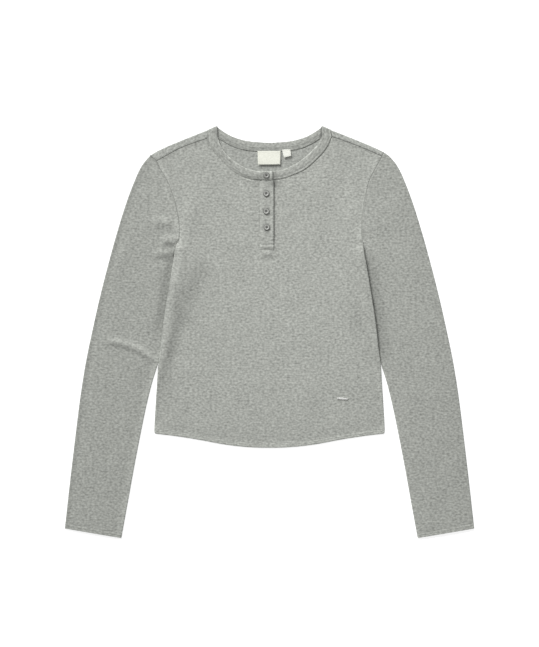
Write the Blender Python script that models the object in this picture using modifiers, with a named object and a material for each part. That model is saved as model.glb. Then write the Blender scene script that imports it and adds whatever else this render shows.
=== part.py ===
"""Long-sleeved henley shirt, cropped, laid flat on its back.

The neck points to +Y and the front faces +Z.  Left and right are those of someone who looks
down on the shirt.  The origin lies on the surface below the middle of the shirt's outline.
Cloth pieces are walls of CLOTH thickness: the body panels are plan outlines lifted to their
height and thickened, the sleeves are flattened tubes lofted through rings.
Tables are in millimetres; finished objects are in metres.
"""

import math
from collections import namedtuple

import bmesh
import bpy
from mathutils import Vector
from mathutils.geometry import delaunay_2d_cdt

MM = 0.001

# ---------------------------------------------------------------- driving dimensions, millimetres
CLOTH = 1.2             # wall of the knit
SEAM_GAP = 0.3          # clear space between two pieces where they meet
FOLD_RADIUS = 1.05      # middle of the wall round a laid fold
LOWER = CLOTH / 2       # middle of a layer that lies on the surface
UPPER = LOWER + 2 * FOLD_RADIUS
SIDE_SEAM = LOWER + CLOTH + SEAM_GAP   # middle of the front where it meets the back at the side
GRID = 20.0             # spacing of the points on a panel

BODY_PUFF = 1.1         # how far the front rises off the back
SLEEVE_PUFF = 1.3       # how far a sleeve's upper layer rises
PUFF_REACH = 16.0       # distance from an edge over which the cloth rises
SLEEVE_LIFT = 4.0       # how far the body's side is lifted where it lies over a sleeve
LIFT_RAMP = 17.0
CUFF_Y = (-346.2, -330.0)              # lower end of a sleeve at its inner and outer edge
SLEEVE_RINGS = 23       # even steps down a sleeve; a few more rings stand close to the armhole
EXTRA_RINGS = (0.15, 0.4, 0.7)
CAP_RINGS = 7.0         # the cap's curve has faded out by this ring
# Stations across a sleeve, from its inner to its outer edge.
SLEEVE_SHARES = (0.05, 0.13, 0.23, 0.34, 0.45, 0.56, 0.67, 0.78, 0.87, 0.95)

SLOT_LEFT, SLOT_RIGHT, SLOT_BOTTOM = -15.5, 5.5, 141.0   # slot in the front under the placket
PLACKET_LEFT, PLACKET_RIGHT, PLACKET_BOTTOM = -17.1, 7.2, 138.0
PLACKET_TOP = 254.8
PLACKET_CLOTH = 1.6     # doubled strip
BAND_CLOTH = 2.0        # folded neckband
BAND_FOLD_RADIUS = 1.15
BAND_END_LEFT = 3.2     # where the left end of the neckband stops, past the centre line
BAND_END_RIGHT = -15.0  # the right end, under the left one
BAND_END_Y = (269.9, 255.3)            # free edge and seam edge of both ends
NECKLINE_Y = 255.8      # where the front's neckline meets the slot

BUTTON_RADIUS = 5.1
BUTTON_HEIGHT = 2.4
BUTTON_RIM = 0.6
LABEL_CLOTH = 0.7
PLATE_LENGTH, PLATE_WIDTH, PLATE_THICKNESS = 18.5, 3.6, 1.2
PLATE_CENTRE, PLATE_TURN = (123.1, -111.2), -4.0
PLATE_CLEAR = 0.2       # more room below the rigid plate, where the front slopes

# Half width of the whole outline, from the neck over the shoulder and down the sleeve's outer edge.
Silhouette = namedtuple("Silhouette", "y half")
SILHOUETTE = [Silhouette(*row) for row in (
    (339.5, 104.3), (324.4, 142.3), (309.3, 178.2), (299.2, 197.1), (289.1, 207.6), (279.0, 215.0),
    (263.9, 222.8), (221.9, 239.2), (168.2, 256.1), (114.4, 271.0), (60.6, 284.7), (6.9, 296.9),
    (-46.9, 308.1), (-100.6, 316.9), (-154.4, 323.9), (-248.5, 335.1), (-330.0, 344.2))]

# The body's side and the sleeve's inner edge, which runs under the side down to about y = -55.
Section = namedtuple("Section", "y body sleeve")
SECTIONS = [Section(*row) for row in (
    (149.0, 157.6, 158.2), (136.2, 158.9, 159.5), (111.6, 163.2, 160.2), (75.8, 169.2, 165.6),
    (20.3, 177.9, 171.6), (-30.1, 183.8, 181.0), (-53.6, 187.0, 187.4), (-87.2, 189.2, 197.8),
    (-127.5, 191.9, 207.6), (-165.0, 193.9, 215.4), (-221.6, 195.0, 226.4), (-275.4, 195.0, 236.1),
    (-346.2, 195.0, 249.0))]
UNDERARM_Y = SECTIONS[0].y

# Armhole seam from the top of the shoulder down to the underarm, each side's half width.
Armhole = namedtuple("Armhole", "y left right")
ARMHOLE = [Armhole(*row) for row in (
    (302.0, 201.0, 192.0), (297.0, 200.4, 189.8), (288.0, 190.8, 185.2), (273.0, 183.0, 177.0),
    (256.0, 172.7, 168.4), (240.0, 165.8, 164.3), (215.0, 158.0, 159.2), (190.0, 152.5, 155.9),
    (172.0, 151.6, 154.7), (160.0, 153.6, 155.5), (149.0, 157.6, 157.6))]
SHOULDER_POINT_Y = {"left": 297.0, "right": 302.0}

# The forward shoulder seam, from the neckband out to the armhole: half width and height.
Seam = namedtuple("Seam", "half y")
SHOULDER_SEAM = {
    "left": [Seam(*row) for row in ((103.6, 325.8), (127.8, 317.7), (154.9, 306.8), (190.0, 287.2))],
    "right": [Seam(*row) for row in ((104.6, 328.6), (128.9, 320.4), (155.9, 310.0), (188.6, 295.6))]}

# Front half of the neckband from the centre to the shoulder fold: free edge, seam edge and the
# height of the middle of its wall.
Band = namedtuple("Band", "free_x free_y seam_x seam_y z")
NECKBAND_FRONT = {
    "left": [Band(*row) for row in (
        (15.5, 269.6, 14.0, 256.0, 5.2), (36.1, 273.8, 37.5, 257.9, 4.0), (54.1, 283.4, 61.0, 270.8, 3.4),
        (72.1, 298.2, 81.0, 289.8, 3.3), (82.8, 314.0, 96.8, 308.8, 3.3), (87.4, 328.4, 103.6, 325.8, 3.3))],
    "right": [Band(*row) for row in (
        (14.1, 270.8, 14.0, 256.6, 2.9), (32.1, 276.6, 36.0, 262.8, 3.1), (50.1, 286.1, 58.4, 273.0, 3.2),
        (68.0, 301.4, 79.0, 290.4, 3.3), (81.4, 316.0, 95.8, 309.8, 3.3), (87.2, 329.4, 104.6, 328.6, 3.3))]}

# Back half of the neckband from the shoulder fold to the centre: free edge and seam edge.
BackBand = namedtuple("BackBand", "free_x free_y seam_x seam_y")
NECKBAND_BACK = [BackBand(*row) for row in (
    (76.8, 336.7, 87.7, 327.0), (63.3, 329.2, 70.9, 316.6), (49.9, 324.4, 55.3, 309.8),
    (36.5, 321.3, 39.6, 305.8), (23.0, 319.7, 24.2, 304.0), (0.0, 318.5, 0.0, 303.2))]
BAND_APEX, BAND_APEX_SEAM = (88.3, 346.4), (104.0, 339.7)

# Lower edge of the body: half width and height, to the start of the rounded corner.
HEM = [Seam(*row) for row in (
    (0.0, -194.7), (36.5, -193.6), (76.8, -189.0), (117.0, -181.6), (157.4, -175.2), (191.0, -171.2))]
HEM_CORNER = 5.0

# Largest folds: which piece, middle, heading in degrees from +X, length, half width and height.
Fold = namedtuple("Fold", "piece x y heading length width height")
FOLDS = [Fold(*row) for row in (
    ("sleeve_left", -232.0, -21.0, -16.0, 105.0, 7.0, 1.8),
    ("sleeve_left", -176.0, 186.0, 8.0, 42.0, 7.0, 1.8),
    ("sleeve_left", -178.0, 160.0, 4.0, 46.0, 6.0, 1.8),
    ("sleeve_left", -180.0, 138.0, 2.0, 44.0, 6.0, 1.6),
    ("sleeve_right", 178.0, 172.0, -14.0, 44.0, 7.0, 1.4),
    ("sleeve_right", 262.0, 150.0, -58.0, 120.0, 14.0, 1.4),
    ("sleeve_left", -258.0, 120.0, 62.0, 110.0, 14.0, 1.2),
    ("front", -150.0, 60.0, 80.0, 190.0, 12.0, 1.6),
    ("front", -108.0, 40.0, 68.0, 200.0, 16.0, 1.2),
    ("front", 128.0, 70.0, -78.0, 170.0, 15.0, 1.3),
    ("front", 60.0, -120.0, 84.0, 120.0, 18.0, 1.0),
    ("front", -52.0, -110.0, 96.0, 130.0, 18.0, 1.0))]

BUTTONS = ((-5.2, 263.3), (-5.5, 232.7), (-5.5, 202.8), (-4.5, 175.9))
NECK_LABEL = ((-19.8, 281.2), (18.2, 281.6), (18.6, 304.6), (-21.0, 304.2))
SIZE_TAG = ((24.4, 291.9), (36.7, 295.2), (35.3, 307.2), (21.0, 306.8))

# Colours are linear RGB.
HEATHER = (0.400, 0.410, 0.384)
INNER_HEATHER = (0.384, 0.395, 0.368)
CREAM = (0.820, 0.830, 0.740)
WHITE = (0.870, 0.880, 0.820)
HORN_GREY = (0.330, 0.330, 0.320)
STEEL = (0.780, 0.780, 0.770)

SIDES = {"left": -1, "right": 1}


# ---------------------------------------------------------------- curves and sections
def smooth_step(value):
    """0 below 0, 1 above 1, and an even rise between."""
    value = min(max(value, 0.0), 1.0)
    return value * value * (3 - 2 * value)


def value_at(places, values, at):
    """Value at a place between given ones, on a smooth curve through all of them."""
    if places[0] > places[-1]:
        places, values = places[::-1], values[::-1]
    if at <= places[0]:
        return values[0]
    if at >= places[-1]:
        return values[-1]
    last = len(places) - 1
    slopes = [(values[min(i + 1, last)] - values[max(i - 1, 0)])
              / (places[min(i + 1, last)] - places[max(i - 1, 0)]) for i in range(last + 1)]
    i = max(k for k in range(last) if places[k] <= at)
    span = places[i + 1] - places[i]
    t = (at - places[i]) / span
    return ((1 + 2 * t) * (1 - t) ** 2 * values[i] + t * (1 - t) ** 2 * span * slopes[i]
            + t * t * (3 - 2 * t) * values[i + 1] + t * t * (t - 1) * span * slopes[i + 1])


def column(rows, name):
    return [getattr(row, name) for row in rows]


def silhouette(y):
    return value_at(column(SILHOUETTE, "y"), column(SILHOUETTE, "half"), y)


def body_side(y):
    return value_at(column(SECTIONS, "y"), column(SECTIONS, "body"), y)


def sleeve_inner(y):
    return value_at(column(SECTIONS, "y"), column(SECTIONS, "sleeve"), y)


def armhole(side, y):
    return value_at(column(ARMHOLE, "y"), column(ARMHOLE, side), y)


def hem(half):
    return value_at(column(HEM, "half"), column(HEM, "y"), half)


def spline(points, spacing):
    """Points about `spacing` apart on the smooth curve through the given ones, ends included."""
    points = [Vector(p) for p in points]
    padded = [2 * points[0] - points[1]] + points + [2 * points[-1] - points[-2]]
    curve = []
    for before, start, end, after in zip(padded, padded[1:], padded[2:], padded[3:]):
        steps = max(1, round((end - start).length / spacing))
        for step in range(steps):
            t = step / steps
            curve.append(0.5 * (2 * start + (end - before) * t
                                + (2 * before - 5 * start + 4 * end - after) * t * t
                                + (3 * start - before - 3 * end + after) * t ** 3))
    return curve + [points[-1]]


def resample(points, count):
    """`count` points evenly spaced along a polyline, ends included."""
    points = [Vector(p) for p in points]
    lengths = [0.0]
    for start, end in zip(points, points[1:]):
        lengths.append(lengths[-1] + (end - start).length)
    result = []
    for step in range(count):
        want = lengths[-1] * step / (count - 1)
        i = max(k for k in range(len(points) - 1) if lengths[k] <= want or k == 0)
        share = (want - lengths[i]) / max(lengths[i + 1] - lengths[i], 1e-9)
        result.append(points[i].lerp(points[i + 1], share))
    return result


def mirrored(points, sign):
    """Half-outline points put on one side of the centre line."""
    return [Vector((sign * p[0], *p[1:])) for p in points]


# ---------------------------------------------------------------- the neckband's path
def band_front(side):
    """Sections from the band's front end to the shoulder: (free x, y, z, seam x, y, z) rows."""
    end_x = -BAND_END_LEFT if side == "left" else BAND_END_RIGHT
    rows = NECKBAND_FRONT[side]
    path = [(end_x, BAND_END_Y[0], rows[0].z, end_x, BAND_END_Y[1], rows[0].z)]
    path += [(row.free_x, row.free_y, row.z, row.seam_x, row.seam_y, row.z) for row in rows]
    return spline(path, 9.0)


def band_fold():
    """Sections round the fold at the shoulder: free edge, seam edge, height, and the way that the
    band's outer face looks, along the slope of the shoulder and up."""
    apex, apex_seam = Vector(BAND_APEX), Vector(BAND_APEX_SEAM)
    along = (apex_seam - apex).normalized()
    across = Vector((-along.y, along.x))
    depth = BAND_CLOTH / 2 + BAND_FOLD_RADIUS
    sections = []
    for angle in (90, 54, 18, -18, -54, -90):
        a = math.radians(angle)
        shift = across * (BAND_FOLD_RADIUS * math.cos(a) - depth)
        z = BAND_CLOTH / 2 + BAND_FOLD_RADIUS * (1 + math.sin(a))
        normal = (across * math.cos(a)).to_3d() + Vector((0, 0, math.sin(a)))
        sections.append((apex + shift, apex_seam + shift, z, normal))
    return sections


def band_back():
    """Sections from the fold to the centre of the back, without the fold's last one."""
    low = BAND_CLOTH / 2
    free, seam, *_ = band_fold()[-1]
    path = [(*free, low, *seam, low)]
    path += [(row.free_x, row.free_y, low, row.seam_x, row.seam_y, low) for row in NECKBAND_BACK]
    return spline(path, 11.0)[1:]


# ---------------------------------------------------------------- outlines
def stations(start, end, spacing):
    """Even steps from start to end, about `spacing` apart, both ends included."""
    steps = max(1, round(abs(end - start) / spacing))
    return [start + (end - start) * step / steps for step in range(steps + 1)]


def hem_and_side(sign, spacing):
    """From the centre of the hem, round its corner and up the side to the underarm."""
    corner_y = HEM[-1].y + HEM_CORNER
    corner_x = body_side(corner_y)
    half = [(x, hem(x)) for x in stations(0, HEM[-1].half, spacing)]
    for degrees in (60, 30, 0):
        angle = math.radians(degrees)
        half.append((HEM[-1].half + (corner_x - HEM[-1].half) * math.cos(angle),
                     corner_y - HEM_CORNER * math.sin(angle)))
    half += [(body_side(y), y) for y in stations(corner_y, UNDERARM_Y, spacing)[1:]]
    return mirrored(half, sign)


def armhole_points(side):
    """The armhole seam from the underarm to the top of the shoulder, at the sleeve's stations."""
    rows = [(armhole(side, y), y) for y in stations(UNDERARM_Y, SHOULDER_POINT_Y[side], 2.0)]
    fine = resample(rows, 201)
    return [fine[round(share * 200)] for share in (0.0, *SLEEVE_SHARES, 1.0)]


def armhole_up_to(side, last):
    """Armhole points below a last one, and that one."""
    return [point for point in armhole_points(side) if point.y < last[1] - 2] + [Vector(last)]


def armhole_place(side, y):
    """Point of the armhole's polyline at a height."""
    points = armhole_points(side)
    for low, high in zip(points, points[1:]):
        if high.y >= y:
            return low.lerp(high, (y - low.y) / (high.y - low.y))
    return points[-1]


def front_outline(spacing):
    halves = {}
    for side, sign in SIDES.items():
        slot_edge = abs(SLOT_LEFT if side == "left" else SLOT_RIGHT)
        seam_end = armhole_place(side, SHOULDER_SEAM[side][-1].y)
        half = [tuple(p) for p in armhole_up_to(side, seam_end)[1:-1]]
        half += [tuple(p) for p in shoulder_seam(side, spacing)[::-1]]
        neckline = [(row[3], row[4]) for row in band_front(side)[:-1] if row[3] > slot_edge + 3]
        half += neckline[::-1] + [(slot_edge, NECKLINE_Y), (slot_edge, SLOT_BOTTOM)]
        halves[side] = hem_and_side(sign, spacing) + mirrored(half, sign)
    return halves["right"] + halves["left"][:0:-1]


def shoulder_seam(side, spacing):
    """The forward shoulder seam, from the neckband out to the armhole."""
    rows = [tuple(row) for row in SHOULDER_SEAM[side][:-1]]
    rows.append(tuple(armhole_place(side, SHOULDER_SEAM[side][-1].y)))
    return spline(rows, spacing)


class ShoulderFold:
    """The rolled fold at the top of one shoulder, in a frame along and across the shoulder."""

    ARC = math.pi * FOLD_RADIUS

    def __init__(self, side):
        self.sign = SIDES[side]
        start = Vector((SILHOUETTE[0].half, SILHOUETTE[0].y))
        end = Vector((SILHOUETTE[3].half, SILHOUETTE[3].y))
        self.along = (end - start).normalized()
        self.across = Vector((-self.along.y, self.along.x))
        rows = [Vector((row.half, row.y)) for row in SILHOUETTE[:7]]
        self.places = [row.dot(self.along) for row in rows]
        self.edges = [row.dot(self.across) for row in rows]
        armhole_end = min((p for p in resample(armhole_points(side), 400)),
                          key=lambda p: abs(self.beyond(p)))
        self.ends = (Vector(BAND_APEX_SEAM).dot(self.along), armhole_end.dot(self.along))

    def tangent(self, a):
        """Where the flat layer ends and the roll begins."""
        return value_at(self.places, self.edges, a) - CLOTH / 2 - FOLD_RADIUS

    def beyond(self, point):
        return point.dot(self.across) - self.tangent(point.dot(self.along))

    def flat(self, a, beyond):
        """Place in the flat cut of a point some way beyond the start of the roll."""
        return a * self.along + (self.tangent(a) + beyond) * self.across

    def unroll(self, point):
        """Place in the flat cut of a point on the upper side of the fold."""
        point = Vector(point[:2])
        return self.flat(point.dot(self.along), self.ARC - self.beyond(point))

    def is_rolled(self, point):
        """Whether a point of the flat cut lies past the start of the roll."""
        half = Vector((point.x * self.sign, point.y))
        return half.dot(self.along) > self.ends[0] - 20 and self.beyond(half) > 0

    def roll(self, point):
        """Place and height in the laid shirt of a point of the flat cut, past the roll's start."""
        half = Vector((point.x * self.sign, point.y))
        a, beyond = half.dot(self.along), self.beyond(half)
        if beyond < self.ARC:
            angle = beyond / FOLD_RADIUS
            laid = self.flat(a, FOLD_RADIUS * math.sin(angle))
            z = LOWER + FOLD_RADIUS * (1 - math.cos(angle))
        else:
            laid = self.flat(a, self.ARC - beyond)
            z = UPPER
        return Vector((laid.x * self.sign, laid.y, z))

    def turn(self):
        """Shares of the roll that the cloth's points lie on."""
        return [self.ARC * step / 4 for step in range(5)]

    def rows(self):
        """Lines of points that run along the roll in the flat cut, short of its ends."""
        lines = []
        for beyond in self.turn():
            line = [self.flat(a, beyond) for a in stations(self.ends[0] + 3, self.ends[1] - 3, 12.0)]
            lines.append(mirrored(line, self.sign))
        return lines


def back_outline(spacing):
    """The back's flat cut: the laid outline, with the shoulder flaps opened out."""
    halves = {}
    for side, sign in SIDES.items():
        fold = ShoulderFold(side)
        seam = shoulder_seam(side, spacing)
        neck_end, armhole_end = fold.ends
        half = armhole_up_to(side, fold.flat(armhole_end, 0.0))[1:-1]
        half += [fold.flat(armhole_end, beyond) for beyond in fold.turn()]
        flap = [p for p in armhole_points(side) if seam[-1].y + 2 < p.y < half[-5].y - 2]
        half += [fold.unroll(p) for p in flap[::-1] + seam[::-1]]
        neck = [Vector((row[3], row[4])) for row in band_front(side) if row[4] > seam[0].y + 2]
        half += [fold.unroll(p) for p in neck if fold.beyond(p) < -2]
        half += [fold.flat(neck_end, beyond) for beyond in fold.turn()[::-1]]
        half += [(row[3], row[4]) for row in band_back()]
        halves[side] = hem_and_side(sign, spacing) + mirrored(half, sign)
    return halves["right"] + halves["left"][-2:0:-1]


def inset(outline, distance):
    """A closed outline, counter-clockwise, moved in by a small distance."""
    result = []
    for before, point, after in zip(outline[-1:] + outline[:-1], outline, outline[1:] + outline[:1]):
        first = (point - before).normalized()
        second = (after - point).normalized()
        normal = Vector((-first.y - second.y, first.x + second.x)).normalized()
        stretch = max(0.4, normal.dot(Vector((-first.y, first.x))))
        result.append(point + normal * (distance / stretch))
    return result


def is_inside(point, outline):
    crossings = False
    for start, end in zip(outline, outline[1:] + outline[:1]):
        if (start.y > point.y) != (end.y > point.y):
            if point.x < start.x + (point.y - start.y) * (end.x - start.x) / (end.y - start.y):
                crossings = not crossings
    return crossings


def edge_distance(point, outline):
    """Distance to the nearest edge of an outline."""
    nearest = math.inf
    for start, end in zip(outline, outline[1:] + outline[:1]):
        edge = end - start
        share = min(max((point - start).dot(edge) / edge.length_squared, 0.0), 1.0)
        nearest = min(nearest, (start + edge * share - point).length)
    return nearest


# ---------------------------------------------------------------- heights
def relief(piece, x, y):
    """Height that a piece's folds add at a place."""
    total = 0.0
    for fold in FOLDS:
        if fold.piece != piece:
            continue
        heading = math.radians(fold.heading)
        dx, dy = x - fold.x, y - fold.y
        along = dx * math.cos(heading) + dy * math.sin(heading)
        across = dy * math.cos(heading) - dx * math.sin(heading)
        taper = max(0.0, 1 - (2 * along / fold.length) ** 2)
        total += fold.height * taper ** 2 * math.exp(-(across / fold.width) ** 2)
    return total


def lift_over_sleeve(x, y):
    """How far the body's side is raised where a sleeve's inner edge runs under it."""
    clear = sleeve_inner(y) - abs(x)
    over = 1 - smooth_step((clear - 1.0) / LIFT_RAMP)
    below_underarm = smooth_step((UNDERARM_Y - y) / 22.0)
    return SLEEVE_LIFT * over * below_underarm


def lift_lines():
    """Lines on each side of the body along the foot, slope and top of the lift over a sleeve."""
    lines = []
    for sign in SIDES.values():
        for clear in (1.5, 7.5, 13.0, 19.0):
            line = [Vector((sign * (sleeve_inner(y) - clear), y))
                    for y in stations(UNDERARM_Y - 4, -95.0, 14.0)
                    if sleeve_inner(y) - clear < body_side(y) - 2.5]
            if len(line) > 1:
                lines.append(line)
    return lines


# The front's edge without the slot, from which its height is worked out.
OUTER_EDGE = [point for point in front_outline(GRID)
              if abs(point.x) > 1 - SLOT_LEFT or point.y < SLOT_BOTTOM - 5]


def front_middle(x, y):
    """Height of the middle of the front's wall."""
    distance = edge_distance(Vector((x, y)), OUTER_EDGE)
    rim = SIDE_SEAM + (UPPER - SIDE_SEAM) * smooth_step((y - 120) / 40.0)
    puff = BODY_PUFF * (1 - math.exp(-(distance / PUFF_REACH) ** 2))
    return rim + puff + relief("front", x, y) * smooth_step(distance / 20.0) + lift_over_sleeve(x, y)


def back_middle(x, y):
    return LOWER + lift_over_sleeve(x, y)


# ---------------------------------------------------------------- Blender helpers
def principled(name, colour, roughness=0.9, metallic=0.0):
    material = bpy.data.materials.new(name)
    material.use_nodes = True
    shader = material.node_tree.nodes["Principled BSDF"]
    shader.inputs["Base Color"].default_value = (*colour, 1.0)
    shader.inputs["Roughness"].default_value = roughness
    shader.inputs["Metallic"].default_value = metallic
    return material


def add_object(name, mesh, material, collection):
    obj = bpy.data.objects.new(name, mesh)
    mesh.materials.append(material)
    collection.objects.link(obj)
    return obj


def flat_mesh(name, outline, spacing, lines=()):
    """Even triangles over a plan outline, in millimetres at height 0.  Triangle edges follow the
    given lines inside it."""
    reach_x = [p.x for p in outline]
    reach_y = [p.y for p in outline]
    count = len(outline)
    edges = [(i, (i + 1) % count) for i in range(count)]
    points = list(outline)
    for line in lines:
        first = len(points)
        points += line
        edges += [(i, i + 1) for i in range(first, len(points) - 1)]
    on_lines = points[count:]
    for row, y in enumerate(stations(min(reach_y), max(reach_y), spacing * 0.9)):
        shift = spacing / 2 if row % 2 else 0.0
        for x in stations(min(reach_x) + shift, max(reach_x) + shift, spacing):
            point = Vector((x, y))
            if is_inside(point, outline) and edge_distance(point, outline) > spacing * 0.55:
                if all((point - other).length > spacing * 0.6 for other in on_lines):
                    points.append(point)
    points, _, faces, *_ = delaunay_2d_cdt(points, edges, [], 1, 1e-5)
    mesh = bpy.data.meshes.new(name)
    mesh.from_pydata([(p.x, p.y, 0.0) for p in points], [], faces)
    return mesh


def cloth_panel(name, outline, place, thickness, material, collection, spacing=GRID, lines=()):
    """A sheet cut to an outline, each point put where `place` says, and thickened evenly."""
    mesh = flat_mesh(name, outline, spacing, lines)
    for vertex in mesh.vertices:
        vertex.co = place(vertex.co) * MM
    obj = add_object(name, mesh, material, collection)
    wall = obj.modifiers.new("wall", "SOLIDIFY")
    wall.thickness = thickness * MM
    wall.offset = 0.0
    wall.use_even_offset = True
    return obj


def lofted(name, rings, material, collection, closed_tube=False):
    """A solid through rings of equal point counts, capped at its ends or, for a tube of wall
    rings, closed into a loop across them."""
    mesh = bpy.data.meshes.new(name)
    count = len(rings[0])
    points = [tuple(p * MM for p in point) for ring in rings for point in ring]
    faces = []
    pairs = len(rings) if closed_tube else len(rings) - 1
    for i in range(pairs):
        first, second = i * count, ((i + 1) % len(rings)) * count
        for j in range(count):
            k = (j + 1) % count
            faces.append((first + j, first + k, second + k, second + j))
    if not closed_tube:
        faces.append(tuple(range(count))[::-1])
        faces.append(tuple(range(len(points) - count, len(points))))
    mesh.from_pydata(points, [], faces)
    shape = bmesh.new()
    shape.from_mesh(mesh)
    bmesh.ops.triangulate(shape, faces=shape.faces, quad_method="BEAUTY")
    bmesh.ops.recalc_face_normals(shape, faces=shape.faces)
    shape.to_mesh(mesh)
    shape.free()
    return add_object(name, mesh, material, collection)


# ---------------------------------------------------------------- pieces
def make_front(material, collection):
    outline = inset(front_outline(GRID * 0.7), SEAM_GAP / 2)
    return cloth_panel("front", outline, lambda p: Vector((p.x, p.y, front_middle(p.x, p.y))),
                       CLOTH, material, collection, lines=lift_lines())


def make_back(material, collection):
    folds = {sign: ShoulderFold(side) for side, sign in SIDES.items()}
    lines = lift_lines() + [line for fold in folds.values() for line in fold.rows()]

    def place(point):
        fold = folds[1 if point.x > 0 else -1]
        if fold.is_rolled(point):
            return fold.roll(point)
        return Vector((point.x, point.y, back_middle(point.x, point.y)))

    outline = inset(back_outline(GRID * 0.7), SEAM_GAP / 2)
    return cloth_panel("back", outline, place, CLOTH, material, collection, lines=lines)


def sleeve_profile(inward, puff):
    """Closed section of a laid tube: which edge a point is measured from, how far, and its height.
    Points between the edges are measured as a share of the way across."""
    radius = FOLD_RADIUS + CLOTH / 2
    turn = radius - inward
    angles = [math.radians(a) for a in (-65, -25, 25, 65)]
    rounded = [(radius - turn * math.cos(a), radius + turn * math.sin(a)) for a in angles]
    profile = [("inner", depth, height) for depth, height in rounded]
    profile += [("across", share, 2 * radius - inward + puff(share)) for share in SLEEVE_SHARES]
    profile += [("outer", depth, height) for depth, height in rounded[::-1]]
    return profile + [("across", share, inward) for share in SLEEVE_SHARES[::-1]]


def polyline_place(points, shares, share):
    """Point at a share of a polyline whose points lie at the given shares."""
    for low, high, start, end in zip(shares, shares[1:], points, points[1:]):
        if share <= high:
            return start.lerp(end, max(share - low, 0.0) / (high - low))
    return points[-1]


def make_sleeve(side, material, collection):
    sign = SIDES[side]
    name = "sleeve_" + side
    top = SHOULDER_POINT_Y[side]
    per_ring = 20
    count = (SLEEVE_RINGS - 1) * per_ring + 1
    outer = resample([(silhouette(y), y) for y in stations(top, CUFF_Y[1], 5.0)], count)
    inner = resample([(sleeve_inner(y), y) for y in stations(UNDERARM_Y, CUFF_Y[0], 5.0)], count)
    cap = outward(armhole_points(side), SEAM_GAP / 2)
    outer[0], inner[0] = cap[-1], cap[0]
    inner_normals = [after - before for before, after in zip(inner, outward(inner, -1.0))]
    shares = (0.0, *SLEEVE_SHARES, 1.0)

    def place(share, ring):
        """Plan position of a share across a ring; the cap's curve fades out down the sleeve, and
        at once beside the underarm."""
        bulge = polyline_place(cap, shares, share) - cap[0].lerp(cap[-1], share)
        fading_rings = 0.02 + CAP_RINGS * smooth_step(share / 0.65)
        fade = 1 - smooth_step(ring / fading_rings)
        step = round(ring * per_ring)
        return inner[step].lerp(outer[step], share) + bulge * fade

    walls = {0.0: [], CLOTH: []}
    for ring in sorted((*range(SLEEVE_RINGS), *EXTRA_RINGS)):
        step = round(ring * per_ring)
        width = (outer[step] - inner[step]).length
        at_armhole = smooth_step((ring + 0.5) / 3)

        def puff(share, ring=ring, width=width, at_armhole=at_armhole):
            spot = place(share, ring)
            reach = min(share, 1 - share) * width
            rise = SLEEVE_PUFF * (1 - math.exp(-(reach / PUFF_REACH) ** 2))
            folds = relief(name, sign * spot.x, spot.y) * smooth_step((reach - 9) / 14)
            return (rise + folds) * at_armhole

        for inward, wall in walls.items():
            section = []
            for measure, far, height in sleeve_profile(inward, puff):
                if measure == "inner":
                    spot = place(0.0, ring) + inner_normals[step] * far
                elif measure == "outer":
                    spot = place(1 - far / width, ring)
                else:
                    spot = place(far, ring)
                section.append((sign * spot.x, spot.y, height))
            wall.append(section)
    return lofted(name, walls[0.0] + walls[CLOTH][::-1], material, collection, closed_tube=True)


def outward(points, distance):
    """An open line of half-outline points, listed upwards, moved away from the body."""
    result = []
    for i, point in enumerate(points):
        before, after = points[max(i - 1, 0)], points[min(i + 1, len(points) - 1)]
        direction = (after - before).normalized()
        result.append(point + Vector((direction.y, -direction.x)) * distance)
    return result


def band_section(free, seam, normal):
    """Cross-section of the neckband: a rounded free edge and a square seam edge."""
    width = (seam - free).length
    across = (seam - free) / width
    half = BAND_CLOTH / 2
    shape = [(width, half)]
    shape += [(half - half * math.cos(math.radians(a)), half * math.sin(math.radians(a)))
              for a in (90, 45, 0, -45, -90)]
    shape += [(width, -half)]
    return [tuple(free + across * u + normal * v) for u, v in shape]


def make_neckband(material, collection):
    """One strip: left front end, round the left fold, along the back, and down the right front."""
    halves = {}
    for side, sign in SIDES.items():
        up = Vector((0, 0, 1))
        sections = [(Vector(row[:3]), Vector(row[3:]), up) for row in band_front(side)]
        for free, seam, z, normal in band_fold():
            sections.append((Vector((*free, z)), Vector((*seam, z)), normal))
        sections += [(Vector(row[:3]), Vector(row[3:]), -up) for row in band_back()]
        flip = Vector((sign, 1, 1))
        halves[side] = [(free * flip, seam * flip, normal * flip) for free, seam, normal in sections]
    rings = []
    for free, seam, normal in halves["left"] + halves["right"][-2::-1]:
        seam = seam - (seam - free).normalized() * SEAM_GAP / 2
        rings.append(band_section(free, seam, normal))
    return lofted("neckband", rings, material, collection)


def rectangle(left, right, low, high, spacing):
    corners = [Vector(p) for p in ((left, low), (right, low), (right, high), (left, high))]
    outline = []
    for start, end in zip(corners, corners[1:] + corners[:1]):
        steps = max(1, round((end - start).length / spacing))
        outline += [start.lerp(end, step / steps) for step in range(steps)]
    return outline


def placket_middle(x, y):
    """Height of the middle of the upper placket: over the under one, and over the front's edge."""
    over = CLOTH / 2 + SEAM_GAP + PLACKET_CLOTH / 2
    return front_middle(x, y) + over


def make_plackets(material, collection):
    gap = SEAM_GAP
    under = rectangle(SLOT_LEFT + gap, SLOT_RIGHT - gap, SLOT_BOTTOM + gap, PLACKET_TOP, 10.0)
    cloth_panel("placket_under", under, lambda p: Vector((p.x, p.y, front_middle(p.x, p.y))),
                CLOTH, material, collection, 10.0)
    upper = rectangle(PLACKET_LEFT, PLACKET_RIGHT, PLACKET_BOTTOM, PLACKET_TOP, 10.0)
    cloth_panel("placket_upper", upper, lambda p: Vector((p.x, p.y, placket_middle(p.x, p.y))),
                PLACKET_CLOTH, material, collection, 10.0)


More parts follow.
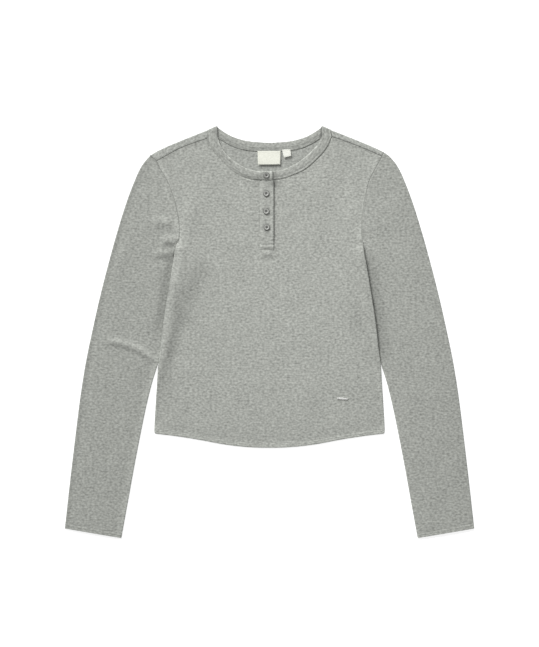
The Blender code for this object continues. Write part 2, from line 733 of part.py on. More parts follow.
def make_button(index, centre, seat, material, collection):
    """A turned disc with a raised rim round a shallow dish."""
    radius, height, rim = BUTTON_RADIUS, BUTTON_HEIGHT, BUTTON_RIM
    profile = ((0.0, height - rim), (radius * 0.5, height - rim), (radius * 0.66, height - 0.15),
               (radius * 0.84, height), (radius, height - 0.7), (radius * 0.96, 0.5),
               (radius * 0.7, 0.0), (0.0, 0.0))
    mesh = bpy.data.meshes.new(f"button_{index}")
    edges = [(i, i + 1) for i in range(len(profile) - 1)]
    mesh.from_pydata([(r * MM, 0.0, z * MM) for r, z in profile], edges, [])
    button = add_object(f"button_{index}", mesh, material, collection)
    turned = button.modifiers.new("turned", "SCREW")
    turned.steps = turned.render_steps = 20
    turned.use_merge_vertices = True
    turned.merge_threshold = 0.00001
    button.location = (centre[0] * MM, centre[1] * MM, seat * MM)
    return button


def on_back(x, y):
    """Height of the middle of a label on the back, lifted where it crosses the neckband's seam."""
    seam_y = value_at(column(NECKBAND_BACK, "seam_x"), column(NECKBAND_BACK, "seam_y"), abs(x))
    over_band = smooth_step((y - seam_y + 6) / 5)
    resting = CLOTH + (BAND_CLOTH - CLOTH) * over_band
    return resting + SEAM_GAP + LABEL_CLOTH / 2


def make_label(name, corners, material, collection):
    corners = [Vector(c) for c in corners]
    outline = []
    for start, end in zip(corners, corners[1:] + corners[:1]):
        steps = max(2, round((end - start).length / 4.0))
        outline += [start.lerp(end, step / steps) for step in range(steps)]
    cloth_panel(name, outline, lambda p: Vector((p.x, p.y, on_back(p.x, p.y))),
                LABEL_CLOTH, material, collection, 4.5)


def make_plate(material, collection):
    """A small bar with pointed, rounded ends, sewn on the front near the hem."""
    turn = math.radians(PLATE_TURN)
    centre = Vector(PLATE_CENTRE)
    outline = []
    for step in range(20):
        angle = 2 * math.pi * step / 20
        u = PLATE_LENGTH / 2 * math.cos(angle)
        v = PLATE_WIDTH / 2 * math.sin(angle) * abs(math.sin(angle)) ** -0.25 if step % 10 else 0.0
        outline.append(centre + Vector((u * math.cos(turn) - v * math.sin(turn),
                                        u * math.sin(turn) + v * math.cos(turn))))
    over = CLOTH / 2 + SEAM_GAP + PLATE_THICKNESS / 2
    base = front_middle(*centre) + over + PLATE_CLEAR
    cloth_panel("hem_plate", outline, lambda p: Vector((p.x, p.y, base)), PLATE_THICKNESS,
                material, collection, 4.0)


def make_shirt():
    for obj in list(bpy.data.objects):
        bpy.data.objects.remove(obj, do_unlink=True)
    collection = bpy.data.collections.new("henley_shirt")
    bpy.context.scene.collection.children.link(collection)
    knit = principled("heather_knit", HEATHER)
    rib = principled("heather_rib", HEATHER)
    inner = principled("heather_back", INNER_HEATHER)
    make_back(inner, collection)
    make_front(knit, collection)
    for side in SIDES:
        make_sleeve(side, knit, collection)
    make_neckband(rib, collection)
    make_plackets(knit, collection)
    buttons = principled("button_grey", HORN_GREY, 0.35)
    for index, centre in enumerate(BUTTONS, 1):
        seat = placket_middle(*centre) + PLACKET_CLOTH / 2 + SEAM_GAP
        if index == 1:
            seat = NECKBAND_FRONT["left"][0].z + BAND_CLOTH / 2 + SEAM_GAP
        make_button(index, centre, seat, buttons, collection)
    make_label("neck_label", NECK_LABEL, principled("label_cream", CREAM, 0.6), collection)
    make_label("size_tag", SIZE_TAG, principled("tag_white", WHITE, 0.6), collection)
    make_plate(principled("plate_steel", STEEL, 0.25, 1.0), collection)


make_shirt()
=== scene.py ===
"""The look of a cropped henley shirt laid flat on its back: fine knit, seams, stitching and trims
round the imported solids, on a white floor under soft light from the top left.

Tables are in millimetres, in the part's frame; finished meshes are in metres.
"""

import math
from collections import namedtuple

import bpy
import numpy as np
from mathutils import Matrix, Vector
from mathutils.bvhtree import BVHTree
from mathutils.geometry import delaunay_2d_cdt


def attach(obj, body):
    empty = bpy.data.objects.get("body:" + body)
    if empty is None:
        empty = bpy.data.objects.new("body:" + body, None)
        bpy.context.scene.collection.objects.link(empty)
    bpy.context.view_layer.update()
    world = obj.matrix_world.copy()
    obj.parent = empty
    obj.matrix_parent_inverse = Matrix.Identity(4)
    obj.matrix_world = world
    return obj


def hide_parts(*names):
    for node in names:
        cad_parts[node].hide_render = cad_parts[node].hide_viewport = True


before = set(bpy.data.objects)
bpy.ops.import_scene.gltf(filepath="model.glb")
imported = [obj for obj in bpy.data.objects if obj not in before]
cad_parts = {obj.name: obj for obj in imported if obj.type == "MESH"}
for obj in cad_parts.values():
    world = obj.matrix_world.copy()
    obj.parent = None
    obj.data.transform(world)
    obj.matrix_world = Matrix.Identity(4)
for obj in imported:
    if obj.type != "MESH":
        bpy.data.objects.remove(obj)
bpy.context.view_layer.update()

MM = 0.001

# ---------------------------------------------------------------- dimensions shared with the part
CLOTH = 1.2
SEAM_GAP = 0.3
FOLD_RADIUS = 1.05
LOWER = CLOTH / 2
UPPER = LOWER + 2 * FOLD_RADIUS
SIDE_SEAM = LOWER + CLOTH + SEAM_GAP
BODY_PUFF, SLEEVE_PUFF, PUFF_REACH = 1.1, 1.3, 16.0
SLEEVE_LIFT, LIFT_RAMP = 4.0, 17.0
CUFF_Y = (-346.2, -330.0)
SLEEVE_RINGS, CAP_RINGS = 23, 7.0
SLOT_LEFT, SLOT_RIGHT, SLOT_BOTTOM = -15.5, 5.5, 141.0
PLACKET_LEFT, PLACKET_RIGHT, PLACKET_BOTTOM, PLACKET_TOP = -17.1, 7.2, 138.0, 254.8
PLACKET_CLOTH = 1.6
BAND_CLOTH, BAND_FOLD_RADIUS = 2.0, 1.15
BAND_END_LEFT, BAND_END_RIGHT = 3.2, -15.0
BAND_END_Y, NECKLINE_Y = (269.9, 255.3), 255.8
BUTTON_RADIUS, BUTTON_HEIGHT, BUTTON_RIM = 5.1, 2.4, 0.6
LABEL_CLOTH = 0.7
PLATE_LENGTH, PLATE_WIDTH, PLATE_THICKNESS = 18.5, 3.6, 1.2
PLATE_CENTRE, PLATE_TURN, PLATE_CLEAR = (123.1, -111.2), -4.0, 0.2

# Half outlines: y, then x from the shirt's centre.
SILHOUETTE = np.array((
    (339.5, 104.3), (324.4, 142.3), (309.3, 178.2), (299.2, 197.1), (289.1, 207.6), (279.0, 215.0),
    (263.9, 222.8), (221.9, 239.2), (168.2, 256.1), (114.4, 271.0), (60.6, 284.7), (6.9, 296.9),
    (-46.9, 308.1), (-100.6, 316.9), (-154.4, 323.9), (-248.5, 335.1), (-330.0, 344.2)))
SECTIONS = np.array((                     # y, x of the body's side, x of the sleeve's inner edge
    (149.0, 157.6, 158.2), (136.2, 158.9, 159.5), (111.6, 163.2, 160.2), (75.8, 169.2, 165.6),
    (20.3, 177.9, 171.6), (-30.1, 183.8, 181.0), (-53.6, 187.0, 187.4), (-87.2, 189.2, 197.8),
    (-127.5, 191.9, 207.6), (-165.0, 193.9, 215.4), (-221.6, 195.0, 226.4), (-275.4, 195.0, 236.1),
    (-346.2, 195.0, 249.0)))
UNDERARM_Y = SECTIONS[0, 0]
ARMHOLE = np.array((                      # y, x of the left armhole, x of the right one
    (302.0, 201.0, 192.0), (297.0, 200.4, 189.8), (288.0, 190.8, 185.2), (273.0, 183.0, 177.0),
    (256.0, 172.7, 168.4), (240.0, 165.8, 164.3), (215.0, 158.0, 159.2), (190.0, 152.5, 155.9),
    (172.0, 151.6, 154.7), (160.0, 151.7, 155.5), (152.4, 152.8, 156.9), (149.0, 157.6, 157.6)))
SHOULDER_POINT_Y = {"left": 297.0, "right": 302.0}
SHOULDER_SEAM = {
    "left": ((103.6, 325.8), (127.8, 317.7), (154.9, 306.8), (190.0, 287.2)),
    "right": ((104.6, 328.6), (128.9, 320.4), (155.9, 310.0), (188.6, 295.6))}
NECKBAND_FRONT = {       # free x, free y, seam x, seam y, height
    "left": ((15.5, 269.6, 14.0, 256.0, 5.2), (36.1, 273.8, 37.5, 257.9, 4.0),
             (54.1, 283.4, 61.0, 270.8, 3.4), (72.1, 298.2, 81.0, 289.8, 3.3),
             (82.8, 314.0, 96.8, 308.8, 3.3), (87.4, 328.4, 103.6, 325.8, 3.3)),
    "right": ((14.1, 270.8, 14.0, 256.6, 2.9), (32.1, 276.6, 36.0, 262.8, 3.1),
              (50.1, 286.1, 58.4, 273.0, 3.2), (68.0, 301.4, 79.0, 290.4, 3.3),
              (81.4, 316.0, 95.8, 309.8, 3.3), (87.2, 329.4, 104.6, 328.6, 3.3))}
NECKBAND_BACK = (        # free x, free y, seam x, seam y
    (76.8, 336.7, 87.7, 327.0), (63.3, 329.2, 70.9, 316.6), (49.9, 324.4, 55.3, 309.8),
    (36.5, 321.3, 39.6, 305.8), (23.0, 319.7, 24.2, 304.0), (0.0, 318.5, 0.0, 303.2))
BAND_APEX, BAND_APEX_SEAM = (88.3, 346.4), (104.0, 339.7)
HEM = np.array((
    (-36.5, -193.6), (0.0, -194.7), (36.5, -193.6), (76.8, -189.0), (117.0, -181.6),
    (157.4, -175.2), (191.0, -171.2)))
HEM_CORNER = 5.0
BUTTONS = ((-5.2, 263.3), (-5.5, 232.7), (-5.5, 202.8), (-4.5, 175.9))
NECK_LABEL = ((-19.2, 281.2), (18.2, 281.6), (18.6, 304.6), (-20.2, 304.2))
SIZE_TAG = ((24.4, 291.9), (36.7, 295.2), (35.3, 307.2), (21.0, 306.8))
# The part's broad folds.  CREASES draws its narrow ones, at the elbow, the underarm and the left side.
Fold = namedtuple("Fold", "piece x y heading length width height")
FOLDS = [Fold(*row) for row in (
    ("sleeve_right", 262.0, 150.0, -58.0, 120.0, 14.0, 1.4),
    ("sleeve_left", -258.0, 120.0, 62.0, 110.0, 14.0, 1.2),
    ("front", 128.0, 70.0, -78.0, 170.0, 15.0, 1.3),
    ("front", 60.0, -120.0, 84.0, 120.0, 18.0, 1.0),
    ("front", -52.0, -110.0, 96.0, 130.0, 18.0, 1.0))]
SIDES = {"left": -1, "right": 1}

# ---------------------------------------------------------------- dimensions of the finish
FINE = 2.6                        # spacing of the points of a panel
SHELL = 1.1                       # thickness of the shown cloth
HEM_WIDTH, CUFF_WIDTH = 8.4, 7.2  # turned-up edges of the body and of the sleeves
RIGHT_BILLOW = 1.6                # how much further the body's right side stands off the sleeve
LEFT_LIFT_RAMP = 23.0             # width of the slope where the body's left side rises onto the sleeve
BAND_STITCH = 4.2                 # from the neckband's seam to the row of stitches on it
BOX_STITCHES = (147.2, 141.2)     # y of the two rows across the foot of the placket
EDGE_STITCH = 2.2                 # from the placket's loose edge to the row along it
HEM_ROWS_APART, CUFF_ROWS_APART = 3.2, 3.0
SEAM_THICKNESS = 0.5              # of the strips of cloth that show in the seams
LABEL_TOP = 304.0                 # y where the neckband hides the label's ends
TAG_SHORTENING = 0.06             # share of the size tag that its soft curve takes up
PLATE_DROP, PLATE_SHELL = 0.7, 0.8        # how far the shown plate is moved down, and its thickness
SHIRT_MIDDLE = 4.0                # height that the camera's distance is measured from


# ---------------------------------------------------------------- curves and sections
def smooth_step(value):
    value = np.clip(value, 0.0, 1.0)
    return value * value * (3 - 2 * value)


def ramp(value, start, end):
    """0 up to the start and 1 past the end, which may be the lower of the two."""
    return smooth_step((value - start) / (end - start))


def bell(distance, width):
    return np.exp(-(distance / width) ** 2)


def lines(distance, *rows):
    """Soft lines at some distances from another line.  A row is a height, a distance and a width."""
    return sum(height * bell(distance - at, width) for height, at, width in rows)


def value_at(places, values, at):
    """Value at places between given ones, on a smooth curve through all of them."""
    if places[0] > places[-1]:
        places, values = places[::-1], values[::-1]
    rises, runs = np.diff(values), np.diff(places)
    slopes = np.concatenate(([rises[0] / runs[0]],
                             (values[2:] - values[:-2]) / (places[2:] - places[:-2]),
                             [rises[-1] / runs[-1]]))
    at = np.clip(at, places[0], places[-1])
    i = np.clip(np.searchsorted(places, at, side="right") - 1, 0, len(places) - 2)
    span = runs[i]
    t = (at - places[i]) / span
    return ((1 + 2 * t) * (1 - t) ** 2 * values[i] + t * (1 - t) ** 2 * span * slopes[i]
            + t * t * (3 - 2 * t) * values[i + 1] + t * t * (t - 1) * span * slopes[i + 1])


def silhouette(y):
    return value_at(*SILHOUETTE.T, y)


def body_side(y):
    return value_at(SECTIONS[:, 0], SECTIONS[:, 1], y)


def sleeve_inner(y):
    return value_at(SECTIONS[:, 0], SECTIONS[:, 2], y)


def armhole(side, y):
    return value_at(ARMHOLE[:, 0], ARMHOLE[:, 1 if side == "left" else 2], y)


def spline(points, spacing):
    """Points about `spacing` apart on the smooth curve through the given ones, ends included."""
    points = np.asarray(points, float)
    padded = np.vstack((2 * points[0] - points[1], points, 2 * points[-1] - points[-2]))
    curve = []
    for before, start, end, after in zip(padded, padded[1:], padded[2:], padded[3:]):
        steps = max(1, round(float(np.linalg.norm(end - start)) / spacing))
        t = np.arange(steps)[:, None] / steps
        curve.append(0.5 * (2 * start + (end - before) * t
                            + (2 * before - 5 * start + 4 * end - after) * t ** 2
                            + (3 * start - before - 3 * end + after) * t ** 3))
    return np.vstack(curve + [points[-1:]])


def arc_lengths(points):
    return np.concatenate(([0.0], np.cumsum(np.linalg.norm(np.diff(points, axis=0), axis=1))))


def along_line(points, wanted):
    """Points at wanted distances along a polyline."""
    lengths = arc_lengths(points)
    return np.stack([np.interp(wanted, lengths, column) for column in points.T], axis=1)


def resample(points, count):
    return along_line(points, np.linspace(0, arc_lengths(points)[-1], count))


def stations(start, end, spacing):
    return np.linspace(start, end, max(1, round(abs(end - start) / spacing)) + 1)


def mirrored(points, sign):
    points = np.array(points, float)
    points[:, 0] *= sign
    return points


def units(vectors):
    return vectors / np.maximum(np.linalg.norm(vectors, axis=-1, keepdims=True), 1e-12)


def line_distance(points, line, closed=False):
    """For each point: distance to a polyline, side of it (+1 left) and share along it."""
    starts = line if closed else line[:-1]
    ends = np.roll(line, -1, axis=0) if closed else line[1:]
    lengths = arc_lengths(line)
    best = np.full(len(points), np.inf)
    side = np.zeros(len(points))
    share = np.zeros(len(points))
    for i, (start, end) in enumerate(zip(starts, ends)):
        edge = end - start
        squared = max(float(edge @ edge), 1e-12)
        offset = points - start
        t = np.clip(offset @ edge / squared, 0.0, 1.0)
        distance = np.hypot(*(offset - t[:, None] * edge).T)
        closer = distance < best
        best = np.where(closer, distance, best)
        turn = np.sign(edge[0] * offset[:, 1] - edge[1] * offset[:, 0])
        side = np.where(closer, turn, side)
        share = np.where(closer, (lengths[i] + t * math.sqrt(squared)) / lengths[-1], share)
    return best, side, share


def is_inside(points, outline):
    inside = np.zeros(len(points), bool)
    for start, end in zip(outline, np.roll(outline, -1, axis=0)):
        if start[1] == end[1]:
            continue
        spans = (start[1] > points[:, 1]) != (end[1] > points[:, 1])
        cross = start[0] + (points[:, 1] - start[1]) * (end[0] - start[0]) / (end[1] - start[1])
        inside ^= spans & (points[:, 0] < cross)
    return inside


def inset(outline, distance):
    """A closed outline, counter-clockwise, moved in by a small distance."""
    first = units(outline - np.roll(outline, 1, axis=0))
    second = units(np.roll(outline, -1, axis=0) - outline)
    normal = units(np.stack((-first[:, 1] - second[:, 1], first[:, 0] + second[:, 0]), axis=1))
    stretch = np.maximum(0.4, normal[:, 1] * first[:, 0] - normal[:, 0] * first[:, 1])
    return outline + normal * (distance / stretch)[:, None]


def lattice(seed, places, cell):
    """Smooth noise from -1 to 1: seeded values on a square lattice, blended between its points."""
    values = np.random.default_rng(seed).uniform(-1, 1, (64, 64))
    place = places / np.asarray(cell, float)
    low = np.floor(place).astype(int)
    t = smooth_step(place - low)
    i, j = low[:, 0] % 64, low[:, 1] % 64
    k, m = (i + 1) % 64, (j + 1) % 64
    bottom = values[i, j] * (1 - t[:, 0]) + values[k, j] * t[:, 0]
    top = values[i, m] * (1 - t[:, 0]) + values[k, m] * t[:, 0]
    return bottom * (1 - t[:, 1]) + top * t[:, 1]


# ---------------------------------------------------------------- the neckband's path
def band_front(side, spacing=2.5):
    """Rows of free x, y, z and seam x, y, z from the band's front end to the shoulder."""
    end_x = -BAND_END_LEFT if side == "left" else BAND_END_RIGHT
    rows = NECKBAND_FRONT[side]
    path = [(end_x, BAND_END_Y[0], rows[0][4], end_x, BAND_END_Y[1], rows[0][4])]
    path += [(fx, fy, z, sx, sy, z) for fx, fy, sx, sy, z in rows]
    return spline(path, spacing)


def band_fold(steps=14):
    """Sections round the fold at the shoulder: free point, seam point and outer normal."""
    apex, apex_seam = np.array(BAND_APEX), np.array(BAND_APEX_SEAM)
    along = units(apex_seam - apex)
    across = np.array((-along[1], along[0]))
    depth = BAND_CLOTH / 2 + BAND_FOLD_RADIUS
    sections = []
    for angle in np.linspace(math.pi / 2, -math.pi / 2, steps + 1):
        shift = across * (BAND_FOLD_RADIUS * math.cos(angle) - depth)
        z = BAND_CLOTH / 2 + BAND_FOLD_RADIUS * (1 + math.sin(angle))
        normal = np.array((*(across * math.cos(angle)), math.sin(angle)))
        sections.append((np.array((*(apex + shift), z)), np.array((*(apex_seam + shift), z)), normal))
    return sections


def band_back(spacing=2.5):
    """Rows from the fold to the centre of the back, without the fold's last one."""
    low = BAND_CLOTH / 2
    free, seam, _ = band_fold()[-1]
    path = [(*free[:2], low, *seam[:2], low)]
    path += [(fx, fy, low, sx, sy, low) for fx, fy, sx, sy in NECKBAND_BACK]
    past_centre = np.array(path[-2]) * (-1, 1, 1, -1, 1, 1)         # keeps the centre smooth
    rows = spline(path + [past_centre], spacing)[1:]
    return rows[rows[:, 0] > -0.01]


# ---------------------------------------------------------------- outlines
def hem_and_side(sign, spacing):
    """From the centre of the hem, round its corner and up the side to the underarm."""
    hem_end, hem_y = HEM[-1]
    corner_y = hem_y + HEM_CORNER
    corner_x = float(body_side(corner_y))
    half = [(x, float(value_at(*HEM.T, x))) for x in stations(0, hem_end, spacing)]
    for degrees in (72, 54, 36, 18, 0):
        angle = math.radians(degrees)
        half.append((hem_end + (corner_x - hem_end) * math.cos(angle),
                     corner_y - HEM_CORNER * math.sin(angle)))
    half += [(float(body_side(y)), y) for y in stations(corner_y, UNDERARM_Y, spacing)[1:]]
    return mirrored(half, sign)


def armhole_points(side, count=121):
    """The armhole seam from the underarm to the top of the shoulder."""
    ys = stations(UNDERARM_Y, SHOULDER_POINT_Y[side], 2.0)
    return resample(np.column_stack((armhole(side, ys), ys)), count)


def armhole_up_to(side, last):
    points = armhole_points(side)
    return np.vstack((points[points[:, 1] < last[1] - 0.8], last))


def armhole_place(side, y):
    points = armhole_points(side)
    return np.array((np.interp(y, points[:, 1], points[:, 0]), y))


def shoulder_seam(side, spacing):
    """The forward shoulder seam, from the neckband out to the armhole."""
    rows = list(SHOULDER_SEAM[side])
    rows[-1] = armhole_place(side, rows[-1][1])
    return spline(rows, spacing)


def front_outline(spacing):
    halves = {}
    for side, sign in SIDES.items():
        slot_edge = abs(SLOT_LEFT if side == "left" else SLOT_RIGHT)
        seam_end = armhole_place(side, SHOULDER_SEAM[side][-1][1])
        neck = band_front(side)[:-1]
        neck = neck[neck[:, 3] > slot_edge + 3][::-1, 3:5]
        slot = [(slot_edge, y) for y in stations(NECKLINE_Y, SLOT_BOTTOM, spacing)]
        half = np.vstack((armhole_up_to(side, seam_end)[1:-1], shoulder_seam(side, spacing)[::-1],
                          neck, slot))
        halves[side] = np.vstack((hem_and_side(sign, spacing), mirrored(half, sign)))
    bottom = [(x, SLOT_BOTTOM) for x in stations(SLOT_RIGHT, SLOT_LEFT, spacing)[1:-1]]
    return np.vstack((halves["right"], bottom, halves["left"][:0:-1]))


class ShoulderFold:
    """The rolled fold at the top of one shoulder, in a frame along and across the shoulder."""

    ARC = math.pi * FOLD_RADIUS
    TURN = np.linspace(0, ARC, 9)

    def __init__(self, side):
        self.sign = SIDES[side]
        rows = SILHOUETTE[:7, ::-1]
        self.along = units(rows[3] - rows[0])
        self.across = np.array((-self.along[1], self.along[0]))
        self.places = rows @ self.along
        self.edges = rows @ self.across
        cap = resample(armhole_points(side), 400)
        armhole_end = cap[np.argmin(np.abs(self.beyond(cap)))]
        self.ends = (np.array(BAND_APEX_SEAM) @ self.along, armhole_end @ self.along)

    def tangent(self, a):
        """Where the flat layer ends and the roll begins."""
        return value_at(self.places, self.edges, a) - CLOTH / 2 - FOLD_RADIUS

    def beyond(self, points):
        return points @ self.across - self.tangent(points @ self.along)

    def flat(self, a, beyond):
        """Places in the flat cut of points some way beyond the start of the roll."""
        a = np.atleast_1d(a)
        return a[:, None] * self.along + (self.tangent(a) + beyond)[:, None] * self.across

    def unroll(self, points):
        """Places in the flat cut of points on the upper side of the fold."""
        return self.flat(points @ self.along, self.ARC - self.beyond(points))

    def roll(self, points):
        """Which points of the flat cut are past the roll's start, and where those come to lie."""
        half = mirrored(points, self.sign)
        a, beyond = half @ self.along, self.beyond(half)
        past = (a > self.ends[0] - 20) & (beyond > 0) & (half[:, 0] > 0)
        angle = np.clip(beyond / FOLD_RADIUS, 0, math.pi)
        flap = np.maximum(beyond - self.ARC, 0)
        laid = self.flat(a, np.where(beyond < self.ARC, FOLD_RADIUS * np.sin(angle), -flap))
        z = LOWER + FOLD_RADIUS * (1 - np.cos(angle))
        return past, np.column_stack((laid[:, 0] * self.sign, laid[:, 1], z))

    def rows(self):
        """Lines of points that run along the roll in the flat cut, short of its ends."""
        places = stations(self.ends[0] + 2.5, self.ends[1] - 2.5, 3.0)
        return [mirrored(self.flat(places, beyond), self.sign) for beyond in self.TURN]

    def end_line(self, a):
        """The line round the roll at one of its ends, in the flat cut."""
        return [self.flat(a, beyond)[0] for beyond in self.TURN]


def back_outline(spacing):
    """The back's flat cut: the laid outline, with the shoulder flaps opened out."""
    halves = {}
    for side, sign in SIDES.items():
        fold = ShoulderFold(side)
        seam = shoulder_seam(side, spacing)
        fall, rise = (fold.end_line(a) for a in fold.ends)
        lower = armhole_up_to(side, rise[0])[1:-1]
        cap = armhole_points(side)
        flap = cap[(cap[:, 1] > seam[-1, 1] + 0.8) & (cap[:, 1] < rise[0][1] - 0.8)]
        flap = fold.unroll(np.vstack((flap[::-1], seam[::-1])))
        neck = band_front(side)
        neck = neck[neck[:, 4] > seam[0, 1] + 0.8][:, 3:5]
        neck = fold.unroll(neck[fold.beyond(neck) < -0.8]) if len(neck) else np.empty((0, 2))
        half = np.vstack((lower, rise, flap, neck, fall[::-1], band_back()[:, 3:5]))
        halves[side] = np.vstack((hem_and_side(sign, spacing), mirrored(half, sign)))
    return np.vstack((halves["right"], halves["left"][-2:0:-1]))


def make_outer_edge():
    """The front's outline without the placket's slot."""
    outline = front_outline(8.0)
    return outline[(np.abs(outline[:, 0]) > 1 - SLOT_LEFT) | (outline[:, 1] < SLOT_BOTTOM - 5)]


OUTER_EDGE = make_outer_edge()


# ---------------------------------------------------------------- creases and heights
# A stroke is a soft line through its points.  Its two widths are those of the left and the right
# slope for someone who walks along it.
Stroke = namedtuple("Stroke", "piece path left right change")
# Creases: above 0 one stands up, below 0 it is a trough.
CREASES = [Stroke(*row) for row in (
    # left sleeve: elbow, then the gathers beside the underarm, then the dip along the body
    ("sleeve_left", ((-287, -15), (-270, -16.5), (-250, -19), (-232, -26), (-215, -33), (-180, -58)),
     6.0, 4.2, 2.6),
    ("sleeve_left", ((-200, 186), (-182, 184), (-160, 180)), 9, 7, 2.2),
    ("sleeve_left", ((-184, 152), (-170, 151.5), (-146, 151.5)), 9, 5.5, 2.0),
    ("sleeve_left", ((-182, 143.5), (-166, 143.5), (-150, 143.5)), 5, 3.5, -0.8),
    ("sleeve_left", ((-198, 129.5), (-175, 131.5), (-156, 132)), 6, 4.5, 1.9),
    ("sleeve_left", ((-192, 120), (-178, 119), (-164, 117)), 5, 7, -1.0),
    ("sleeve_left", ((-164, 138), (-167, 100), (-174, 60), (-181, 14), (-188, -24)), 13, 8, -2.6),
    # front: the left side's long fall and the dip beside it, the chest and the belly
    ("front", ((-126, 128), (-143, 92), (-160, 55), (-171, 10), (-179, -28), (-185, -84)), 24, 13, 1.35),
    ("front", ((-104, 118), (-119, 86), (-136, 50), (-146, 8), (-156, -28), (-165, -84)), 15, 13, -1.2),
    ("front", ((118, 106), (138, 72), (152, 30), (158, -20)), 11, 12, -0.7),
    ("front", ((-134, 250), (-134, 216), (-140, 178), (-150, 140)), 15, 9, 1.5),
    ("front", ((154, 296), (147, 250), (143, 200), (146, 158)), 28, 14, 1.6),
    ("front", ((22, -60), (42, -92), (56, -130)), 10, 10, 0.6),
    ("front", ((-80, -100), (-96, -130), (-104, -162)), 14, 12, -0.6),
    ("front", ((70, -96), (92, -128), (100, -158)), 14, 12, -0.6),
    # front: the puff below the placket
    ("front", ((-17, 131), (-5, 131.5), (8, 131)), 6.0, 4.5, 1.8),
    ("front", ((-16, 122), (-4, 122.5), (8, 121)), 4.0, 6.0, -0.6),
    # right sleeve: the dip along the body
    ("sleeve_right", ((160, 146), (165, 112), (171.5, 76), (180, 20), (187, -34)), 6, 14, -1.8),
    # back
    ("back", ((-120, 120), (-140, 60), (-160, -10), (-170, -70)), 9, 12, 1.2),
    ("back", ((-60, 190), (-20, 180), (30, 186), (70, 178)), 10, 10, 0.9),
    ("back", ((120, 100), (136, 40), (146, -30)), 12, 9, 1.1),
    ("back", ((-40, -20), (10, -60), (40, -120)), 12, 12, 0.8),
    ("back", ((90, 210), (110, 180), (138, 150)), 9, 9, 1.0),
    ("back", ((-92, 214), (-112, 176), (-140, 140)), 9, 9, 1.0))]
# Painted light and shade beside the creases, and painted shadows of the body's edges on the sleeves.
PAINTED_SHADING = [Stroke(piece, path, width, width, change) for piece, path, width, change in (
    # left sleeve: both sides of the elbow's crease, then the gathers from the top down
    ("sleeve_left", ((-284, -11), (-262, -12.5), (-233, -19), (-214, -28), (-195, -40), (-176, -60)),
     3.8, 0.15),
    ("sleeve_left", ((-276, -20), (-250, -24), (-231, -32), (-216, -38), (-194, -52)), 4.5, -0.05),
    ("sleeve_left", ((-190, 193), (-176, 191), (-162, 184), (-148, 176)), 6.0, 0.12),
    ("sleeve_left", ((-184, 160), (-170, 160), (-150, 160)), 4.0, 0.14),
    ("sleeve_left", ((-180, 146.4), (-166, 146.4), (-142, 146.4)), 4.6, -0.15),
    ("sleeve_left", ((-200, 127), (-180, 127), (-150, 127)), 6.0, -0.08),
    ("sleeve_left", ((-162, 146), (-164, 128), (-167, 108), (-172, 72), (-178, 36), (-185, -6)), 7.5, -0.19),
    ("sleeve_left", ((-188, 256), (-198, 218), (-206, 176)), 20.0, 0.03),
    # right sleeve: painted shadow beside the body's edge
    ("sleeve_right", ((160, 150), (166, 110), (174, 70), (182, 20), (188, -30), (192, -62)), 13.0, -0.24),
    # front: under the arms, the long valley on the left, the chest and the belly
    ("front", ((-150, 172), (-151, 142), (-155, 112), (-164, 74)), 9.0, 0.16),
    ("front", ((-102, 128), (-119, 98), (-133, 68), (-140, 34), (-147, -4)), 18.5, -0.15),
    ("front", ((-140, 40), (-152, 2), (-163, -36), (-169, -66), (-173, -104), (-176, -140)), 11.0, -0.09),
    ("front", ((-169, 68), (-177, 36), (-181, 4), (-186, -52)), 4.5, 0.12),
    ("front", ((-134, 262), (-134, 226), (-138, 190)), 14.0, 0.03),
    ("front", ((126, 262), (132, 226), (140, 180), (146, 152)), 16.0, 0.04),
    ("front", ((86, 302), (118, 296), (152, 288)), 14.0, -0.05),
    ("front", ((138, 60), (148, 20), (150, -20)), 16.0, -0.05),
    ("front", ((110, -96), (150, -120), (176, -140)), 22.0, -0.03))]


def add_up_strokes(strokes, piece, xy, fading):
    """What a piece's strokes add at some places; each fades out towards both its ends."""
    total = np.zeros(len(xy))
    for stroke in strokes:
        if stroke.piece == piece:
            gap, side, share = line_distance(xy, spline(stroke.path, 8.0))
            taper = smooth_step(np.minimum(share, 1 - share) * fading)
            total += stroke.change * taper * bell(gap, np.where(side > 0, stroke.left, stroke.right))
    return total


# painted light and shade along the creases
def painted_crease_shading(piece, xy):
    return add_up_strokes(PAINTED_SHADING, piece, xy, 5.0)


def crease_relief(piece, xy):
    return add_up_strokes(CREASES, piece, xy, 3.2)


def fold_relief(piece, xy):
    """Height that a piece's largest folds add."""
    total = np.zeros(len(xy))
    for fold in FOLDS:
        if fold.piece == piece:
            heading = math.radians(fold.heading)
            dx, dy = xy[:, 0] - fold.x, xy[:, 1] - fold.y
            along = dx * math.cos(heading) + dy * math.sin(heading)
            across = dy * math.cos(heading) - dx * math.sin(heading)
            taper = np.maximum(0.0, 1 - (2 * along / fold.length) ** 2)
            total += fold.height * taper ** 2 * bell(across, fold.width)
    return total


def lift_over_sleeve(xy):
    """How far the body's side is raised where a sleeve's inner edge runs under it."""
    x, y = xy.T
    left = x < 0
    clear = sleeve_inner(y) - np.abs(x)
    over = ramp(clear, 1 + np.where(left, LEFT_LIFT_RAMP, LIFT_RAMP), 1)
    billow = ramp(clear, 48, -4) * ramp(y, -62, -20) * (x > 0)
    below = ramp(y, UNDERARM_Y, UNDERARM_Y - np.where(left, 9, 14))
    return (SLEEVE_LIFT * over + RIGHT_BILLOW * billow) * below


def undulation(seed, xy, height):
    """Gentle unevenness of cloth that has been handled."""
    return height * (0.7 * lattice(seed, xy, (52, 40)) + 0.3 * lattice(seed + 1, xy, (27, 22)))


def front_rim(y):
    """Height of the middle of the front's wall at its edge: higher along the armhole."""
    return SIDE_SEAM + (UPPER - SIDE_SEAM) * ramp(y, 120, 160)


